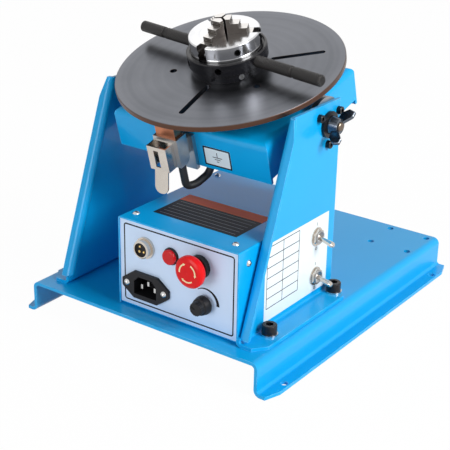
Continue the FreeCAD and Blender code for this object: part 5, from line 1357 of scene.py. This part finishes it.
    def _stop_arrows(self) -> None:
        """Three curved arrows on the emergency stop's head, showing how it is released."""
        place = joint_place(self.shop.frame, "stop_twist")
        face = Face(Vector((place.x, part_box("estop_head")[0].y, place.z)), ACROSS, UP)
        middle = (self.arrow_inner + self.arrow_outer) / 2
        reach = self.arrow_outer - self.arrow_inner
        tip = math.radians(-self.arrow_tip)
        point = (middle * math.cos(tip), middle * math.sin(tip))
        outline = arc_band(self.arrow_inner, self.arrow_outer, 0.0, self.arrow_sweep, 16)
        outline += [(middle - reach, 0.0), point, (middle + reach, 0.0)]
        bm = bmesh.new()
        add_slab(bm, face, outline, self.arrow_bottom, self.arrow_top)
        self.shop.keep(bm, "stop_arrows", "cream ink", None, "stop_head",
                       self.shop.in_ring(self.arrow_count, place, BACK))

    def _knob_ribs(self) -> None:
        """The moulded grip ribs round the speed knob."""
        place = joint_place(self.shop.frame, "speed_turn")
        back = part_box("speed_knob")[0].y + self.rib_start + self.rib_length
        face = Face(Vector((place.x, back, place.z)), ACROSS, UP)
        low, high = self.grip_radius - self.rib_root, self.grip_radius + self.rib_height
        foot, crest = self.rib_foot / 2, self.rib_crest / 2
        bm = bmesh.new()
        add_slab(bm, face, [(-foot, low), (foot, low), (crest, high), (-crest, high)], 0.0, self.rib_length)
        self.shop.keep(bm, "knob_ribs", "black plastic", "black_plastic", "knob",
                       self.shop.in_ring(self.knob_ribs, place, BACK))


@dataclass
class TiltHead(Printed):
    """The tilting frame with its drive, its pivots and the earth brush."""

    label_left: float = 13.8 * MM
    label_right: float = 42.0 * MM
    label_low: float = -18.2 * MM
    label_high: float = 0.5 * MM
    label_corner: float = 0.8 * MM
    label_border: float = 1.4 * MM
    window_corner: float = 0.4 * MM
    front_wall: float = 69.0 * MM
    stroke: float = 0.7 * MM
    stroke_corner: float = 0.1 * MM
    stem_height: float = 5.0 * MM
    bar_width: float = 10.0 * MM
    bar_pitch: float = 2.0 * MM
    bar_shares: tuple[float, ...] = (1.0, 0.62, 0.26)

    def build(self) -> None:
        """Dress the head's solids and make its label."""
        shop = self.shop
        shop.dress("blue", "tilt_frame")
        shop.dress("black screw", "pivot_washers")
        shop.dress("dark zinc", "lock_washers", "wing_nut_right", "wing_nut_left")
        shop.dress("bolt end", "pivot_bolts")
        shop.dress("zinc", "frame_screws", "spindle_bearings", "brush_spring")
        shop.dress("cast", "gearbox", "brush_holder", "earth_bracket")
        shop.dress("dull", "motor", "bearing_housing")
        shop.dress("nickel", "brush_clip")
        shop.dress("copper", "copper_brush")
        shop.dress("rubber", "earth_lead")
        self._label()

    def _label(self) -> None:
        """The earth label: a white sheet with a black edge and the earth symbol."""
        pivot = joint_place(self.shop.frame, "head_tilt")
        up = joint_axis(self.shop.frame, "turntable_spin")
        face = Face(pivot + ACROSS.cross(up) * self.front_wall, ACROSS, up)
        left, right, low, high = self.label_left, self.label_right, self.label_low, self.label_high
        outer = rounded(left, low, right, high, self.label_corner, 3)
        self.lay("earth_label", face, outer, "sheet", "tilt_head")
        edge, half = self.label_border, self.stroke / 2
        inner = rounded(left + edge, low + edge, right - edge, high - edge, self.window_corner, 3)
        centre, middle = left + (right - left) / 2, low + (high - low) / 2
        stem = rounded(-half, 0.0, half, self.stem_height, self.stroke_corner, 2)
        bm = bmesh.new()
        add_border(bm, face, outer, inner, *self.inked)
        add_slab(bm, face, moved(stem, centre, middle), *self.inked)
        for step, share in enumerate(self.bar_shares):
            reach = self.bar_width / 2 * share
            bar = rounded(-reach, -half, reach, half, self.stroke_corner, 2)
            add_slab(bm, face, moved(bar, centre, middle - step * self.bar_pitch), *self.inked)
        self.shop.keep(bm, "earth_symbol", "ink", None, "tilt_head")


@dataclass
class Turntable:
    """The round table, the scroll chuck and its bars."""

    shop: Workshop
    hole_count: int = 3
    hole_angle: float = math.radians(-35.0)
    hole_height: float = 63.25 * MM
    hole_radius: float = 2.96 * MM
    hole_bottom: float = 25.1 * MM
    hole_mouth: float = 30.6 * MM
    shade_thickness: float = 0.4 * MM

    def build(self) -> None:
        """Dress the table and the chuck, and darken the chuck's key holes with painted shade."""
        shop = self.shop
        shop.dress("table", "turntable_disc")
        shop.dress("dull", "spindle", "gearbox_shaft", "backplate_set_screws")
        shop.dress("zinc", "turntable_screws")
        shop.dress("ring", "chuck_backplate", "scroll_ring")
        shop.dress("bright", "chuck_body")
        shop.dress("jaw", "jaw_1", "jaw_2", "jaw_3")
        shop.dress("knurled", "chuck_handles")
        self._painted_hole_shade()

    def _painted_hole_shade(self) -> None:
        """Dark sheets of painted shade on the walls and bottoms of the three key holes round the chuck body.
        """
        pivot = joint_place(self.shop.frame, "head_tilt")
        axis = joint_axis(self.shop.frame, "turntable_spin")
        leaning = Matrix.Rotation(lean(axis), 3, "X")
        outwards = leaning @ Matrix.Rotation(self.hole_angle, 3, "Z") @ ACROSS
        face = Face(pivot + axis * self.hole_height, axis.cross(outwards), axis)
        wall, bore = circle(self.hole_radius, 20), circle(self.hole_radius - self.shade_thickness, 20)
        bottom = self.hole_bottom + self.shade_thickness
        # Black sheets inside each key hole are painted shade for the hole's dark inside.
        bm = bmesh.new()
        add_slab(bm, face, wall, self.hole_bottom, bottom)
        add_border(bm, face, wall, bore, bottom, self.hole_mouth)
        self.shop.keep(bm, "key_hole_painted_shade", "black screw", "black_steel", "turntable",
                       self.shop.in_ring(self.hole_count, face.origin, axis))


# ---------------------------------------------------------------------------- studio

@dataclass(frozen=True)
class Lamp:
    """A soft square lamp: its place, what it points at, its side in metres and its power in watts."""

    name: str
    place: Triple
    target: Triple
    side: float
    power: float

    def build(self) -> None:
        """Hang the lamp in the scene."""
        light = bpy.data.lights.new(self.name, "AREA")
        light.shape = "SQUARE"
        light.size = self.side
        light.energy = self.power
        lamp = bpy.data.objects.new(self.name, light)
        lamp.location = self.place
        aim = Vector(self.target) - Vector(self.place)
        lamp.rotation_euler = aim.to_track_quat("-Z", "Y").to_euler()
        bpy.context.scene.collection.objects.link(lamp)


@dataclass
class Studio:
    """The floor, the lamps, the world and the camera; angles in degrees and the lens in millimetres."""

    camera_place: Triple = (0.574582, -0.830648, 0.494989)
    heading: float = 35.8251
    pitch: float = 23.1055
    roll: float = 1.0498
    lens: float = 93.906
    sensor: float = 36.0
    floor_half: float = 6.0
    floor_colour: Colour = (0.88, 0.88, 0.88)
    floor_glow: float = 0.98
    surround: float = 0.22
    surround_colour: Colour = (0.88, 0.94, 1.0)
    lamps: tuple[Lamp, ...] = (
        Lamp("right", (2.0, -0.05, 1.35), (0.0, -0.03, 0.1), 1.0, 60.0),
        Lamp("front", (-0.4, -2.3, 0.42), (0.0, -0.05, 0.1), 1.2, 25.0),
        Lamp("back left", (-1.1, 0.9, 1.5), (0.0, -0.02, 0.2), 1.2, 3.0),
    )

    def build(self) -> None:
        """Make everything that isn't part of the object."""
        bpy.context.scene.view_settings.view_transform = "Standard"
        self._floor()
        self._world()
        for lamp in self.lamps:
            lamp.build()
        self._camera()

    def _floor(self) -> None:
        """A plain pale floor that shows nearly white and keeps a light shadow."""
        bm = bmesh.new()
        bmesh.ops.create_grid(bm, x_segments=1, y_segments=1, size=self.floor_half)
        floor = finish_mesh(bm, "studio_floor")
        paper = bpy.data.materials.new("pale floor")
        paper.use_nodes = True
        tree = paper.node_tree
        shader = tree.nodes["Principled BSDF"]
        shader.inputs["Base Color"].default_value = (*self.floor_colour, 1.0)
        shader.inputs["Roughness"].default_value = 0.9
        shader.inputs["Specular IOR Level"].default_value = 0.1
        glow = tree.nodes.new("ShaderNodeEmission")
        mix = tree.nodes.new("ShaderNodeMixShader")
        tree.links.new(math_node(tree, "MULTIPLY", self._seen(tree), self.floor_glow), mix.inputs[0])
        tree.links.new(shader.outputs[0], mix.inputs[1])
        tree.links.new(glow.outputs[0], mix.inputs[2])
        tree.links.new(mix.outputs[0], tree.nodes["Material Output"].inputs["Surface"])
        floor.data.materials.append(paper)

    def _world(self) -> None:
        """A dim surround for light, seen as white directly, in metal and through glass."""
        world = bpy.data.worlds.new("studio")
        bpy.context.scene.world = world
        world.use_nodes = True
        tree = world.node_tree
        dim = tree.nodes["Background"]
        dim.inputs["Color"].default_value = (*self.surround_colour, 1.0)
        dim.inputs["Strength"].default_value = self.surround
        white = tree.nodes.new("ShaderNodeBackground")
        white.inputs["Color"].default_value = (1.0, 1.0, 1.0, 1.0)
        mix = tree.nodes.new("ShaderNodeMixShader")
        tree.links.new(self._seen(tree), mix.inputs[0])
        tree.links.new(dim.outputs[0], mix.inputs[1])
        tree.links.new(white.outputs[0], mix.inputs[2])
        tree.links.new(mix.outputs[0], tree.nodes["World Output"].inputs["Surface"])

    def _seen(self, tree: Tree) -> Socket:
        """A value of one for camera, glossy and transmission rays, and nought for the rest.

        Args:
            tree: The tree that gets the nodes.

        Returns:
            The value's socket.
        """
        path = tree.nodes.new("ShaderNodeLightPath").outputs
        seen = math_node(tree, "MAXIMUM", path["Is Camera Ray"], path["Is Glossy Ray"])
        return math_node(tree, "MAXIMUM", seen, path["Is Transmission Ray"])

    def _camera(self) -> None:
        """The camera, level but for a small roll, looking down at the front right corner."""
        data = bpy.data.cameras.new("camera")
        data.lens = self.lens
        data.sensor_width = self.sensor
        camera = bpy.data.objects.new("camera", data)
        turn = (Matrix.Rotation(math.radians(self.heading), 4, "Z")
                @ Matrix.Rotation(math.radians(90.0 - self.pitch), 4, "X")
                @ Matrix.Rotation(math.radians(self.roll), 4, "Z"))
        camera.matrix_world = Matrix.Translation(Vector(self.camera_place)) @ turn
        bpy.context.scene.collection.objects.link(camera)
        bpy.context.scene.camera = camera


def pattern_places(frame: dict) -> tuple[Place, Place]:
    """Where the working marks have their axes.


    Returns:
        The turntable's axis and the chuck bars' axis.
    """
    tilt = lean(joint_axis(frame, "turntable_spin"))
    spin = Place(tuple(joint_place(frame, "head_tilt")), (tilt, 0.0, 0.0))
    low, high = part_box("scroll_ring")
    along = Matrix.Rotation(tilt, 3, "X") @ Vector((math.cos(BAR_HEADING), math.sin(BAR_HEADING), 0.0))
    return spin, Place(tuple((low + high) / 2), tuple(along.to_track_quat("Z", "Y").to_euler()))


def main() -> None:
    """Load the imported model, dress it and set up the studio."""
    logging.basicConfig(level=logging.INFO, format="%(name)s: %(message)s")
    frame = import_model()
    effects = Effects()
    materials = {name: finish.material(effects) for name, finish in finishes(*pattern_places(frame)).items()}
    shop = Workshop(frame, materials)
    for assembly in (Base(shop), RatingSheet(shop), ControlBox(shop), TiltHead(shop), Turntable(shop)):
        assembly.build()
    Studio().build()


if __name__ == "__main__":
    main()
